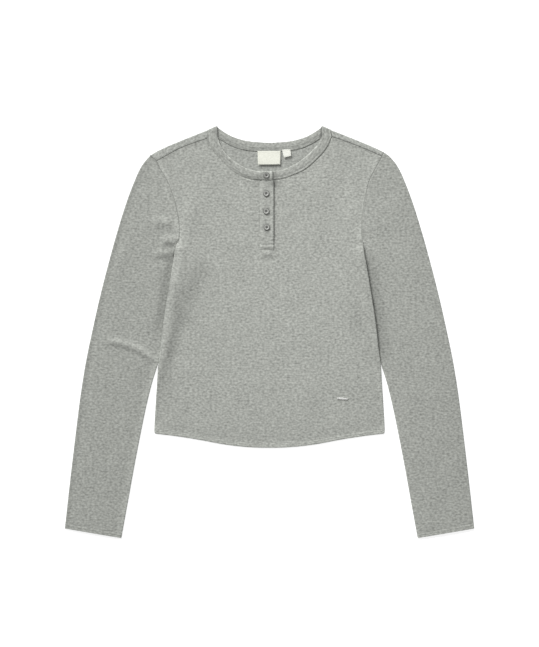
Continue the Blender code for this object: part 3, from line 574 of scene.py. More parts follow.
def front_middle(xy, fine=True):
    """Height of the middle of the front's wall."""
    gap = line_distance(xy, OUTER_EDGE, closed=True)[0]
    z = front_rim(xy[:, 1]) + BODY_PUFF * (1 - bell(gap, PUFF_REACH)) + lift_over_sleeve(xy)
    z += fold_relief("front", xy) * ramp(gap, 0, 20)
    if fine:
        z += (crease_relief("front", xy) + undulation(11, xy, 0.45)) * ramp(gap, 1, 11)
    return z


def back_middle(xy):
    gap = line_distance(xy, OUTER_EDGE, closed=True)[0]
    creases = crease_relief("back", xy) * ramp(gap, 8, 22) * ramp(xy[:, 1], 250, 220)
    return LOWER + lift_over_sleeve(xy) + creases


# ---------------------------------------------------------------- meshes
def add_to_scene(name, data):
    obj = bpy.data.objects.new(name, data)
    bpy.context.scene.collection.objects.link(obj)
    return obj


def volume(points, faces):
    """Volume inside a closed mesh, below 0 where its faces look inwards."""
    by_size = {}
    for face in faces:
        by_size.setdefault(len(face), []).append(face)
    total = 0.0
    for group in map(np.array, by_size.values()):
        for k in range(1, group.shape[1] - 1):
            a, b, c = (points[group[:, i]] for i in (0, k, k + 1))
            total += float(np.einsum("ij,ij->", a, np.cross(b, c)))
    return total / 6


def add_mesh(name, points, faces, material, place=None, shade=1.0):
    """A smooth closed mesh from millimetre points.  `place` is each point's place in the flat cloth,
    which the knit follows, and `shade` its tint: mostly painted shade and highlight."""
    points = np.asarray(points, float)
    if volume(points, faces) < 0:
        faces = [face[::-1] for face in faces]
    mesh = bpy.data.meshes.new(name)
    mesh.from_pydata((points * MM).tolist(), [], [tuple(face) for face in faces])
    mesh.shade_smooth()
    flat = np.zeros((len(points), 3), np.float32)
    flat[:, :2] = (points if place is None else place)[:, :2]
    mesh.attributes.new("cloth", "FLOAT_VECTOR", "POINT").data.foreach_set("vector", flat.ravel())
    tint = np.array(np.broadcast_to(shade, len(points)), np.float32)
    mesh.attributes.new("shade", "FLOAT", "POINT").data.foreach_set("value", tint)
    mesh.materials.append(material)
    return add_to_scene(name, mesh)


def plan_mesh(outline, spacing, inner_lines=()):
    """Points and triangles over a plan outline, and the places of the outline's own points."""
    count = len(outline)
    edges = [(i, (i + 1) % count) for i in range(count)]
    total = count
    for line in inner_lines:
        edges += [(i, i + 1) for i in range(total, total + len(line) - 1)]
        total += len(line)
    grid = []
    low, high = outline.min(axis=0), outline.max(axis=0)
    for row, y in enumerate(np.arange(low[1], high[1], spacing * 0.866)):
        xs = np.arange(low[0] + (row % 2) * spacing / 2, high[0], spacing)
        grid.append(np.column_stack((xs, np.full(len(xs), y))))
    grid = np.vstack(grid)
    grid = grid[is_inside(grid, outline)]
    grid = grid[line_distance(grid, outline, closed=True)[0] > spacing * 0.6]
    for line in inner_lines:
        near = ((grid > line.min(axis=0) - spacing) & (grid < line.max(axis=0) + spacing)).all(axis=1)
        close = np.zeros(len(grid), bool)
        close[near] = line_distance(grid[near], line)[0] < spacing * 0.6
        grid = grid[~close]
    points = np.vstack((outline, *inner_lines, grid))
    flat, _, faces, origins, *_ = delaunay_2d_cdt([Vector(p) for p in points], edges, [], 1, 1e-4)
    where = {origin: i for i, found in enumerate(origins) for origin in found}
    rim = [where[i] for i in range(count) if i in where]
    return np.array([(p.x, p.y) for p in flat]), np.array(faces), rim


def surface_normals(points, faces):
    normals = np.zeros_like(points)
    corners = points[faces]
    across = np.cross(corners[:, 1] - corners[:, 0], corners[:, 2] - corners[:, 0])
    for k in range(3):
        np.add.at(normals, faces[:, k], across)
    return units(normals)


def shell(name, flat, faces, rim, laid, thickness, material, shade=1.0):
    """A sheet round a middle surface, with a rounded edge."""
    count, half = len(laid), thickness / 2
    rim = np.asarray(rim)
    normals = surface_normals(laid, faces)
    ahead = units(np.roll(laid[rim], -1, axis=0) - np.roll(laid[rim], 1, axis=0))
    core = laid.copy()
    core[rim] -= units(np.cross(ahead, normals[rim])) * half
    points = np.vstack((core + normals * half, core - normals * half, laid[rim]))
    edge = 2 * count + np.arange(len(rim))
    next_edge, next_rim = np.roll(edge, -1), np.roll(rim, -1)
    parts = (faces, faces[:, ::-1] + count, np.column_stack((rim, edge, next_edge, next_rim)),
             np.column_stack((edge, count + rim, count + next_rim, next_edge)))
    all_faces = [tuple(face) for part in parts for face in part.tolist()]
    shade = np.broadcast_to(shade, count)
    return add_mesh(name, points, all_faces, material, np.vstack((flat, flat, flat[rim])),
                    np.concatenate((shade, shade, shade[rim])))


def loop_grid(rows, columns, close_rows=True):
    """Quads over a grid of points, numbered row by row; each row is a closed loop."""
    faces = []
    for i in range(rows if close_rows else rows - 1):
        first, second = i * columns, (i + 1) % rows * columns
        for j in range(columns):
            k = (j + 1) % columns
            faces.append((first + j, first + k, second + k, second + j))
    return faces


def tube_faces(rows, columns):
    """Faces of a tube that is closed at both ends."""
    ends = [tuple(range(columns))[::-1], tuple(range((rows - 1) * columns, rows * columns))]
    return loop_grid(rows, columns, close_rows=False) + ends


def ribbon(name, path, half_width, thickness, material, shade):
    """A level strip along a path, such as the seam allowance that shows in the gap of a seam."""
    ahead = units(np.gradient(path, axis=0))
    across = units(np.column_stack((-ahead[:, 1], ahead[:, 0], np.zeros(len(path))))) * half_width
    up = np.array((0.0, 0.0, thickness / 2))
    corners = (path - across - up, path + across - up, path + across + up, path - across + up)
    shade = np.repeat(np.broadcast_to(shade, len(path)), 4)
    return add_mesh(name, np.stack(corners, axis=1).reshape(-1, 3), tube_faces(len(path), 4), material,
                    None, shade)


STITCH_TURN = np.radians((90, 30, -30, -90, -150, 150))
# Sections of a stitch: place along it, width and height, as shares of its length and radius.
STITCH_SECTIONS = ((-0.5, 0.45, -0.3), (-0.36, 0.85, 0.0), (0.0, 1.0, 0.1), (0.36, 0.85, 0.0),
                   (0.5, 0.45, -0.3))
STITCH_FACES = tube_faces(len(STITCH_SECTIONS), len(STITCH_TURN))


def stitches(name, rows, piece, material, length=2.1, gap=0.7, radius=0.2, side=1):
    """Rows of stitches along plan lines, sunk a little into the upper side of the piece that they
    hold, or into its lower one for side -1."""
    tree = BVHTree.FromPolygons([vertex.co / MM for vertex in piece.data.vertices],
                                [tuple(face.vertices) for face in piece.data.polygons])
    sunk = 0.35 if side > 0 else -0.95
    points, faces = [], []
    for row in rows:
        row = np.asarray(row, float)
        total = arc_lengths(row)[-1]
        count = max(1, int(total / (length + gap)))
        centres = (np.arange(count) + 0.5) * total / count
        ahead = units(along_line(row, np.minimum(centres + 0.5, total)) - along_line(row, centres - 0.5))
        for middle, direction in zip(along_line(row, centres), ahead):
            hit = tree.ray_cast(Vector((*middle, 60.0 * side)), Vector((0, 0, -side)))[0]
            if hit is None:
                continue
            across = np.array((-direction[1], direction[0]))
            first = len(points)
            for step, wide, raised in STITCH_SECTIONS:
                for angle in STITCH_TURN:
                    plan = middle + direction * step * length + across * math.cos(angle) * radius * wide
                    z = hit.z + side * radius * (raised + sunk + wide * math.sin(angle))
                    points.append((*plan, z))
            faces += [tuple(first + i for i in face) for face in STITCH_FACES]
    return add_mesh(name, points, faces, material)


# ---------------------------------------------------------------- materials
class Shader:
    """A material's nodes.  Its patterns lie in the flat cloth, in millimetres."""

    def __init__(self, name, roughness=0.9, metallic=0.0, **sockets):
        self.material = bpy.data.materials.new(name)
        self.material.use_nodes = True
        self.tree = self.material.node_tree
        self.surface = self.tree.nodes["Principled BSDF"]
        self.set(self.surface, {"Roughness": roughness, "Metallic": metallic, **sockets})
        self.place = self.attribute("cloth", "Vector")

    def set(self, node, sockets):
        for name, value in sockets.items():
            socket = node.inputs[name]
            if isinstance(value, bpy.types.NodeSocket):
                self.tree.links.new(value, socket)
            else:
                socket.default_value = value

    def add(self, kind, sockets, output=0, **settings):
        node = self.tree.nodes.new("ShaderNode" + kind)
        for name, value in settings.items():
            setattr(node, name, value)
        self.set(node, sockets)
        return node.outputs[output]

    def math(self, operation, first, second):
        return self.add("Math", {0: first, 1: second}, operation=operation)

    def swing(self, value, amount, middle):
        """A value times an amount, about a middle."""
        return self.math("ADD", self.math("MULTIPLY", value, amount), middle)

    def attribute(self, name, output):
        return self.add("Attribute", {}, attribute_name=name, output=output)

    def noise(self, cell, detail=2.0, roughness=0.5, seed=0.0):
        """Noise from about -0.5 to 0.5 whose lumps are as large as the cell."""
        scaled = self.add("Mapping", {"Vector": self.place, "Location": (seed, seed * 1.7, 0.0),
                                      "Scale": (1 / cell[0], 1 / cell[1], 1.0)})
        value = self.add("TexNoise", {"Vector": scaled, "Scale": 1.0, "Detail": detail,
                                      "Roughness": roughness}, output="Fac", noise_dimensions="2D")
        return self.math("SUBTRACT", value, 0.5)

    def bands(self, place, axis, **sockets):
        return self.add("TexWave", {"Vector": place, **sockets}, output="Fac",
                        wave_type="BANDS", bands_direction=axis)

    def colour(self, colour, tint):
        """The base colour times a tint, and times the tint that each point carries, which is mostly
        painted shade and highlight.
        """
        tint = self.math("MULTIPLY", tint, self.attribute("shade", "Fac"))
        colour = self.add("VectorMath", {0: tuple(colour), "Scale": tint}, operation="SCALE")
        self.set(self.surface, {"Base Color": colour})

    def bump(self, height, distance, strength=1.0):
        sockets = {"Height": height, "Distance": distance, "Strength": strength}
        self.set(self.surface, {"Normal": self.add("Bump", sockets, output="Normal")})


# The layers of the heather: strength, size of the lumps, detail and roughness of the noise, seed.
HEATHER_LAYERS = (
    (0.88, (4.2, 3.0), 1.0, 0.45, 0),
    (0.44, (9.0, 2.6), 1.0, 0.50, 7),
    (0.34, (1.6, 1.0), 2.0, 0.60, 13),
    (0.16, (34.0, 24.0), 3.0, 0.60, 21))
RIB = 1.55                                 # from one rib of the knit to the next


def knit_material(name, colour, seed=0.0):
    """Heather knit: fine ribs, and yarn of lighter and darker fibres in short level streaks."""
    shader = Shader(name, 0.92, **{"Sheen Weight": 0.12, "Sheen Roughness": 0.5,
                                   "Specular IOR Level": 0.2})
    heather = 0.0
    for strength, cell, detail, roughness, shift in HEATHER_LAYERS:
        layer = shader.noise(cell, detail, roughness, seed + shift)
        heather = shader.math("ADD", heather, shader.math("MULTIPLY", layer, strength))
    shader.colour(colour, shader.math("ADD", heather, 1.0))
    place = shader.add("Mapping", {"Vector": shader.place, "Scale": (1 / RIB, 1 / RIB, 1.0)})
    ribs = shader.bands(place, "X", **{"Scale": 0.3142, "Distortion": 0.6, "Detail": 1.0,
                                       "Detail Scale": 2.0})
    shader.bump(shader.swing(ribs, 0.5, heather), 0.00018, 0.6)
    return shader.material


def thread_material(name, colour):
    """Sewing thread: twisted, a little shiny."""
    shader = Shader(name, 0.55, **{"Sheen Weight": 0.2})
    speck = shader.noise((0.8, 0.5))
    shader.colour(colour, shader.swing(speck, 0.3, 1.0))
    shader.bump(speck, 0.0001)
    return shader.material


def woven_material(name, colour):
    """Smooth woven label: fine crossed threads."""
    shader = Shader(name, 0.55, **{"Sheen Weight": 0.1})
    weave = shader.math("MULTIPLY", *(shader.bands(shader.place, axis, Scale=1.2, Distortion=0.3)
                                      for axis in "XY"))
    cloud = shader.noise((7.0, 5.0), 3.0, 0.6)
    shader.colour(colour, shader.swing(cloud, 0.06, shader.swing(weave, 0.05, 0.96)))
    shader.bump(weave, 0.00008)
    return shader.material


def hard_material(name, colour, roughness, metallic, cell, detail, tint_swing, roughness_swing):
    """Plastic with faint clouds like horn, or metal with faint scratches."""
    shader = Shader(name, metallic=metallic)
    cloud = shader.noise(cell, detail, 0.6)
    shader.colour(colour, shader.swing(cloud, tint_swing, 1.0))
    shader.set(shader.surface, {"Roughness": shader.swing(cloud, roughness_swing, roughness)})
    return shader.material


HEATHER = np.array((0.386, 0.397, 0.367))
KNIT = knit_material("heather_knit", HEATHER)
# darker copies of the same knit: painted shade on the sleeves and on the inside of the back
SHADED_SLEEVE_KNIT = knit_material("heather_sleeve", HEATHER * 0.94, 31.0)
SHADED_INNER_KNIT = knit_material("heather_back", (0.368, 0.379, 0.352), 57.0)
BAND_KNIT = knit_material("heather_band", HEATHER * 0.98, 83.0)
# darker copies of the knit for the strips in the seams' gaps: painted shade
SHADED_SEAM_KNIT = knit_material("heather_seam", HEATHER * 0.8, 11.0)
DEEP_SHADED_SEAM_KNIT = knit_material("heather_seam_dark", HEATHER * 0.5, 11.0)
THREAD = thread_material("thread_grey", (0.28, 0.29, 0.27))
DARK_THREAD = thread_material("thread_dark", (0.13, 0.13, 0.125))
PALE_THREAD = thread_material("thread_pale", (0.78, 0.78, 0.68))
CREAM = woven_material("label_cream", (0.838, 0.845, 0.750))
WHITE = woven_material("tag_white", (0.825, 0.835, 0.765))
HORN = hard_material("button_grey", (0.300, 0.305, 0.285), roughness=0.38, metallic=0.0,
                     cell=(3.0, 2.0), detail=3.0, tint_swing=0.35, roughness_swing=0.20)
STEEL = hard_material("plate_steel", (0.82, 0.82, 0.80), roughness=0.42, metallic=0.55,
                      cell=(4.0, 0.15), detail=2.0, tint_swing=0.12, roughness_swing=0.25)


# ---------------------------------------------------------------- body panels
def hem_line():
    hem = np.vstack((hem_and_side(-1, 3.0)[::-1], hem_and_side(1, 3.0)))
    return hem[hem[:, 1] <= HEM[-1, 1] + HEM_CORNER]


def seam_finish(flat):
    """What the turned-up hem, the armholes and the shoulder seams add to the front's height, and
    to its tint: painted light and shade, and a hem lighter for its double layer and by painted light."""
    x, y = flat.T
    gap = line_distance(flat, hem_line())[0]
    turned = ramp(gap, HEM_WIDTH + 0.8, HEM_WIDTH - 0.8)
    rise = 0.35 * turned + lines(gap, (-0.25, HEM_WIDTH, 0.9))
    # the hem is lighter for its double layer and by painted light, more to the right and just above it, with
    # painted shade along its row of stitches
    tint = (0.15 + 0.04 * ramp(x, 0, 60)) * turned + lines(gap, (-0.03, HEM_WIDTH, 0.9))
    tint += 0.05 * (1 - turned) * ramp(gap, HEM_WIDTH + 9, HEM_WIDTH)
    above = ramp(y, UNDERARM_Y + 2, UNDERARM_Y + 10)
    # painted highlights beside the armholes, stronger near the shoulders, and painted shadows under the
    # shoulder seams
    top = 0.04 + 0.10 * ramp(y, 240, 280) + 0.08 * ramp(y, 264, 280)
    armhole_painted_shading = {"left": ((top, 2.5, 3.5),), "right": ((0.20, 3.5, 8.0), (0.19, 0.5, 1.4))}
    shoulder_painted_shade = {"left": ((-0.40, 1.0, 1.5), (-0.05, 4.0, 4.0)), "right": ((-0.40, 1.0, 1.5),)}
    for side, sign in SIDES.items():
        gap = line_distance(flat, mirrored(armhole_points(side), sign))[0]
        rise += lines(gap, (0.25, 3.5, 2.2))
        tint += lines(gap, *armhole_painted_shading[side]) * above
        gap = line_distance(flat, mirrored(shoulder_seam(side, 3.0), sign))[0]
        rise += lines(gap, (0.35, 3.5, 2.2), (-0.2, 0.0, 1.0))
        tint += lines(gap, *shoulder_painted_shade[side])
    return rise, tint


def band_end_shadow(x, y):
    """Shadow of the neckband's end on what is below it."""
    return (0.22 * bell(np.hypot(x - 7.0, (y - 253.5) / 1.5), 4.8)
            + 0.17 * bell(np.hypot((x - 4.0) / 2.6, y - 251.5), 7.0)
            + 0.19 * bell(np.hypot((x - 10.5) / 1.8, y - 245.2), 4.2))


def front_shadows(flat):
    """Shadows on the front beside the placket and the neckband, and where its sides rise onto
    the sleeves."""
    x, y = flat.T
    beside = ramp(y, 143, 183) * ramp(y, PLACKET_TOP + 6, PLACKET_TOP) * (1 - 0.45 * ramp(y, 222, 236))
    shadow = lines(x, (0.26, PLACKET_RIGHT + 1.3, 1.5)) * (x > PLACKET_RIGHT - 1) * beside
    gap = line_distance(flat, mirrored(band_front("left")[:, 3:5], -1))[0]
    # beside the neckband's seam on the left: painted light on the seam near the centre, and painted shadow
    # below it
    at_band = lines(gap, (0.04 - 0.36 * ramp(x, -44, -34), 0.6, 1.7))
    at_band += lines(gap, (0.12, 4.2, 2.2), (0.06, 8.5, 4.0)) * ramp(x, -52, -36)
    shadow += at_band * (x < 0)
    rising = ramp(y, UNDERARM_Y - 6, UNDERARM_Y - 26) * ramp(y, -70, -30) * (x > 0)
    shadow += lines(sleeve_inner(y) - x, (0.08, 8.0, 12.0)) * rising
    shadow += 0.16 * ramp(x + body_side(y), 2.4, 0) * ramp(y, 112, 88) * ramp(y, -30, 0)
    return shadow + band_end_shadow(x, y)


def make_front():
    flat, faces, rim = plan_mesh(inset(front_outline(2.2), SEAM_GAP / 2), FINE)
    rise, tint = seam_finish(flat)
    laid = np.column_stack((flat, front_middle(flat) + rise))
    # painted light and shade from the seams, the placket, the neckband and the creases
    shade = 1 + tint - front_shadows(flat) + painted_crease_shading("front", flat)
    return shell("front_knit", flat, faces, rim, laid, SHELL, KNIT, shade)


def label_shadow(x, y):
    """Shadow of the neck label on the back, below it and past its right end."""
    end, low = NECK_LABEL[1][0], NECK_LABEL[0][1]
    beside = ramp(y, low - 1, low + 1) * ramp(y, LABEL_TOP, LABEL_TOP - 2)
    return (lines(low - y, (0.30, 1.4, 1.3)) * ramp(np.abs(x), end + 1.5, end - 0.5)
            + lines(x - end, (0.22, 1.0, 1.2)) * beside)


def make_back():
    folds = [ShoulderFold(side) for side in SIDES]
    lines_on_folds = [line for fold in folds for line in fold.rows()]
    flat, faces, rim = plan_mesh(inset(back_outline(2.2), SEAM_GAP / 2), FINE, lines_on_folds)
    laid = np.column_stack((flat, back_middle(flat)))
    for fold in folds:
        past, rolled = fold.roll(flat)
        laid[past] = rolled[past]
    x, y = flat.T
    shade = 1 - label_shadow(x, y)
    # painted highlight on the rolled shoulders, stronger on the right
    turned_over = laid[:, 2] > UPPER - 0.8
    shade[turned_over & (x < -80)] += 0.09
    shade[turned_over & (x > 80)] += 0.12
    return shell("back_knit", flat, faces, rim, laid, SHELL, SHADED_INNER_KNIT, shade)


# ---------------------------------------------------------------- sleeves
def outward(points, distance):
    """An open line of half-outline points, listed upwards, moved away from the body."""
    ahead = units(np.vstack((points[1:2] - points[:1], points[2:] - points[:-2],
                             points[-1:] - points[-2:-1])))
    return points + np.column_stack((ahead[:, 1], -ahead[:, 0])) * distance


class Sleeve:
    """A laid tube.  A place on it is a ring, 0 at the armhole and `LAST` at the cuff, and a share
    of the way from its inner to its outer edge."""

    PER_RING = 20
    LAST = SLEEVE_RINGS - 1
    RING_LENGTH = 24.0

    def __init__(self, side):
        self.name = "sleeve_" + side
        self.sign = SIDES[side]
        last, count = self.LAST, self.LAST * self.PER_RING + 1
        ys = stations(SHOULDER_POINT_Y[side], CUFF_Y[1], 5.0)
        self.outer = resample(np.column_stack((silhouette(ys), ys)), count)
        ys = stations(UNDERARM_Y, CUFF_Y[0], 5.0)
        self.inner = resample(np.column_stack((sleeve_inner(ys), ys)), count)
        self.cap = outward(armhole_points(side), SEAM_GAP / 2)
        self.outer[0], self.inner[0] = self.cap[-1], self.cap[0]
        self.inner_normals = outward(self.inner, -1.0) - self.inner
        self.rings = np.concatenate((np.linspace(0, 1, 16)[:-1], np.arange(1, last - 0.5, 0.11),
                                     np.linspace(last - 0.5, last, 26)))
        self.from_end = (last - self.rings) * self.RING_LENGTH
        across = self.at(self.outer, self.rings) - self.at(self.inner, self.rings)
        self.width = np.linalg.norm(across, axis=1)

    def at(self, line, ring):
        steps = np.arange(len(line)) / self.PER_RING
        return np.stack([np.interp(ring, steps, line[:, k]) for k in range(2)], axis=-1)

    def place(self, share, ring):
        """Plan places; the armhole's curve fades out down the sleeve, at once by the underarm."""
        shares = np.linspace(0, 1, len(self.cap))
        curve = np.stack([np.interp(share, shares, self.cap[:, k]) for k in range(2)], axis=-1)
        share = share[..., None]
        bulge = curve - (self.cap[0] * (1 - share) + self.cap[-1] * share)
        fading = 0.02 + CAP_RINGS * smooth_step(share / 0.65)
        fade = 1 - smooth_step(ring[..., None] / fading)
        return self.at(self.inner, ring) * (1 - share) + self.at(self.outer, ring) * share + bulge * fade

    def spots(self, shares):
        """Plan places on all the rings, at shares that are the same or differ from ring to ring."""
        shares = np.broadcast_to(shares, (len(self.rings), np.shape(shares)[-1]))
        return self.place(shares, np.repeat(self.rings[:, None], shares.shape[1], axis=1))

    def relief(self, shares, spots):
        """How far the upper layer stands above the flat tube."""
        reach = np.minimum(shares, 1 - shares) * self.width[:, None]
        xy = spots.reshape(-1, 2) * (self.sign, 1)
        fine = (crease_relief(self.name, xy) + undulation(41 + self.sign, xy, 0.5)).reshape(reach.shape)
        fine *= ramp(reach, 0.5, 6.5) * ramp(self.rings, -0.2, 0.7)[:, None]
        folds = fold_relief(self.name, xy).reshape(reach.shape) * ramp(reach, 9, 23)
        puff = SLEEVE_PUFF * (1 - bell(reach, PUFF_REACH))
        return np.maximum((puff + folds) * ramp(self.rings, -0.5, 2.5)[:, None] + fine, -0.9)


def make_sleeve(side):
    sleeve = Sleeve(side)
    upper, lower = np.linspace(0.018, 0.982, 46), np.linspace(0.96, 0.04, 30)
    turn = np.radians(np.linspace(-75, 75, 7))                     # round the fold at either edge
    radius = FOLD_RADIUS + CLOTH / 2
    above = sleeve.spots(upper)
    relief = sleeve.relief(upper, above)
    end = sleeve.from_end[:, None]
    cuff = 0.3 * ramp(end, CUFF_WIDTH + 0.6, CUFF_WIDTH - 0.6) + lines(end, (-0.3, CUFF_WIDTH, 0.9))
    start = sleeve.spots(np.zeros(1))
    normals = sleeve.at(sleeve.inner_normals, sleeve.rings)[:, None]
    walls = []
    for inward, raised in ((0.0, relief + cuff), (SHELL, relief)):
        depth = radius - (radius - inward) * np.cos(turn)
        level = radius + (radius - inward) * np.sin(turn)
        outer_fold = sleeve.spots(1 - depth[::-1] / sleeve.width[:, None])
        blocks = ((start + normals * depth[:, None], level), (above, 2 * radius - inward + raised),
                  (outer_fold, level[::-1]), (sleeve.spots(lower), inward))
        walls.append(np.concatenate([np.dstack((spots, np.broadcast_to(z, spots.shape[:2])))
                                     for spots, z in blocks], axis=1))
    points = np.concatenate((walls[0], walls[1][::-1]))
    rows, columns = points.shape[:2]
    points = points.reshape(-1, 3) * (sleeve.sign, 1, 1)
    end = np.concatenate((sleeve.from_end, sleeve.from_end[::-1]))
    # the cuff is lighter for its double layer and by painted light, more on the right, with painted shade
    # along its row of stitches
    cuff_layers_and_light = 0.03 if side == "left" else 0.09
    shade = 1 + cuff_layers_and_light * (end < CUFF_WIDTH) + lines(end, (-0.05, CUFF_WIDTH, 1.0))
    shade = np.repeat(shade, columns) + sleeve_painted_shading(sleeve, points[:, :2])
    return add_mesh(sleeve.name + "_knit", points, loop_grid(rows, columns), SHADED_SLEEVE_KNIT, None, shade)


def sleeve_painted_shading(sleeve, xy):
    """Painted light and shade on the creases, along a sleeve's edges and its armhole seam, and where
    the body's side lies on it.
    """
    y = xy[:, 1]
    outer, inner, cap = (line_distance(xy, mirrored(line, sleeve.sign))[0]
                         for line in (sleeve.outer[::10], sleeve.inner[::10], sleeve.cap))
    free, above = ramp(y, -20, -35), ramp(y, UNDERARM_Y, UNDERARM_Y + 6)
    if sleeve.sign > 0:
        tint = lines(cap, (-0.09 - 0.06 * ramp(y, 245, 275), 1.0, 1.6)) * above
        tint += lines(inner, (0.03, 3.0, 4.0)) * free
    else:
        tint = lines(cap, (0.05 + 0.10 * ramp(y, 285, 165), 4.0, 8.0)) * above
        tint += lines(cap, (-0.12 * ramp(y, 264, 280), 1.3, 1.5))
        tint += lines(inner, (0.16, 3.0, 7.0)) * free - 0.13 * ramp(outer, 12, 1)
    return tint + painted_crease_shading(sleeve.name, xy)


# ---------------------------------------------------------------- neckband
class BandSection:
    """A section across the folded band.  `front` goes from 1 in front to 0 behind, and `soft` is 1
    on the left, down to near the centre, where the band flows into the front without a step."""

    HALF = BAND_CLOTH / 2
    ROUND = np.linspace(1.2, -1.2, 7)      # angles round the free edge

    def __init__(self, free, seam, normal):
        self.front = float(1 + normal[2]) / 2
        self.soft = self.front * float(ramp(seam[0], -28, -38))
        seam = seam + units(seam - free) * (0.35 * self.soft - 0.5 * SEAM_GAP * (1 - self.soft))
        self.free, self.seam, self.normal = free, seam, normal
        self.width = float(np.linalg.norm(seam - free))
        self.from_seam = np.concatenate(((0.0, 0.45, 0.9), np.linspace(1.5, self.width - self.HALF, 13)))
        self.from_free = self.width - self.from_seam
        self.stitched = bell(self.from_seam - BAND_STITCH - 1.2 * (1 - self.front), 0.8)
        # The left end lies over the right one, so it is higher than all the rest.
        self.is_lapping_end = free[2] > 4.2

    def outline(self):
        """Round the section: distances from the free edge, and heights over the band's middle."""
        half, front, from_seam = self.HALF, self.front, self.from_seam
        arch = np.sin(np.pi * np.clip((self.from_free - half) / (self.width - half), 0, 1)).clip(0)
        full = ramp(self.from_free, half - 0.4, half + 1.2) * ramp(from_seam, 0, 1.1)
        outer = half + front * (0.3 * arch + 0.4 * full - 0.3 * self.stitched * (1 - self.soft))
        front_top = UPPER + SHELL / 2
        outer -= max(0.0, self.free[2] + half - front_top + 0.1) * self.soft * ramp(from_seam, 6, 0)
        outer -= 1.1 * front * ramp(self.free[2], 3.6, 4.2) * ramp(from_seam, 4, 0)
        raised = (1 - front) * ramp(abs(self.free[0]), 86, 74)
        inner = -half - raised * (0.45 * arch ** 0.4 + 0.25 * ramp(from_seam, 3, 1) - 0.2 * self.stitched)
        inner = np.minimum(inner, outer - 0.9)
        out = half + 0.5 * front
        return (np.concatenate((self.from_free, half - out * np.cos(self.ROUND), self.from_free[::-1])),
                np.concatenate((outer, half * np.sin(self.ROUND), inner[::-1])))

    def spots(self, u, v):
        across = (self.seam - self.free) / self.width
        spots = self.free + across * u[:, None] + self.normal * v[:, None]
        if self.is_lapping_end:
            spots[:, 0] += 2.2 * ramp(self.free[0], BAND_END_LEFT - 2.6, BAND_END_LEFT)
        return spots

    def painted_light_and_shade(self):
        """Painted light and shade round the section: highlights on the free edge and beside the seam,
        and shade along the stitches and the seam, by the shoulder's fold and where the band laps the front.
        """
        front, soft = self.front, self.soft
        x, y = self.seam[:2]
        lapped = front * bell(x + 20, 22)
        left = ramp(x, 0, -20)
        corner = front * ramp(y, 300, 320) * (x > 0)
        tip = ramp(self.free[1], 322, 330) * (front > 0.01)
        painted_highlight = front * (1 - corner) * (1 - tip)
        outer = 1 - (1 - soft) * (0.06 + 0.08 * lapped) * self.stitched
        outer += lines(self.from_seam, (0.13 * (1 - soft) * front, 1.6, 1.2), (-0.03 * soft, 1.0, 2.0),
                       (-0.15 * lapped, 3.6, 2.4), (0.17 * lapped, 0.6, 1.3))
        outer += lines(self.from_free, ((0.18 + 0.10 * left) * painted_highlight, 0.3, 1.1),
                       (-0.05 * front - 0.08 * lapped, 4.4, 2.4), (-0.14 * corner, 0.0, 1.6),
                       (-0.36 * tip, 0.2, 1.3))
        free_edge = 1 + (0.20 + 0.10 * left) * painted_highlight - 0.24 * corner - 0.36 * tip
        inner = 1 - 0.28 * self.stitched + lines(self.from_seam, (-0.30, 2.1, 0.9))
        return np.concatenate((outer, np.full(len(self.ROUND), free_edge), inner[::-1])) * self.end_painted_light_and_shade()

    def end_painted_light_and_shade(self):
        """A painted highlight on the left end, and its painted shadow on the right half."""
        past = self.free[0] - BAND_END_LEFT
        if self.free[1] > 279 or self.free[0] > 34:
            return 1.0
        if self.is_lapping_end:
            return 1 + 0.36 * ramp(past, -3.0, -1.8)
        if past < 0.05:
            return 1.0
        low = np.concatenate((self.from_free, np.zeros(len(self.ROUND)), self.from_free[::-1])) / self.width
        return 1 - (0.12 + 0.26 * low) * bell(past - 5.5, 4.2) - 0.10 * low * bell(past - 14, 9)


def band_sections():
    """Sections of the whole band, from its left end round the neck to its right end."""
    halves = {}
    up = np.array((0.0, 0.0, 1.0))
    for side, sign in SIDES.items():
        sections = [(row[:3], row[3:], up) for row in band_front(side)] + band_fold()
        sections += [(row[:3], row[3:], -up) for row in band_back()]
        flip = np.array((sign, 1, 1))
        halves[side] = [BandSection(*(part * flip for part in section)) for section in sections]
    return halves["left"] + halves["right"][-2::-1]


def make_neckband():
    """The folded band.  Its back half has painted shade where it comes out from under its front half."""
    edges = {sign: mirrored(np.vstack((band_front(side)[:, :2], BAND_APEX)), sign)
             for side, sign in SIDES.items()}
    sections = band_sections()
    walked = arc_lengths(np.array([(section.free + section.seam) / 2 for section in sections]))
    rows, places, shades = [], [], []
    for section, along in zip(sections, walked):
        u, v = section.outline()
        spots = section.spots(u, v)
        near = line_distance(spots[:, :2], edges[-1 if section.free[0] < 0 else 1])[0]
        painted_tuck_shade = (1 - section.front) * bell(near, 1.7) * ramp(spots[:, 1], 322, 330)
        rows.append(spots)
        places.append(np.column_stack((np.full(len(u), along), u)))
        shades.append(section.painted_light_and_shade() * (1 - 0.66 * painted_tuck_shade))
    return add_mesh("neckband_knit", np.vstack(rows), tube_faces(len(rows), len(rows[0])), BAND_KNIT,
                    np.vstack(places), np.concatenate(shades))


# ---------------------------------------------------------------- plackets, labels and trims
def closed_line(corners, spacing):
    corners = np.asarray(corners, float)
    outline = []
    for start, end in zip(corners, np.roll(corners, -1, axis=0)):
        steps = max(1, round(float(np.linalg.norm(end - start)) / spacing))
        outline += [start + (end - start) * step / steps for step in range(steps)]
    return np.array(outline)


def rectangle(left, right, low, high, spacing):
    return closed_line(((left, low), (right, low), (right, high), (left, high)), spacing)


def placket_middle(xy):
    return front_middle(xy, fine=False) + CLOTH / 2 + SEAM_GAP + PLACKET_CLOTH / 2


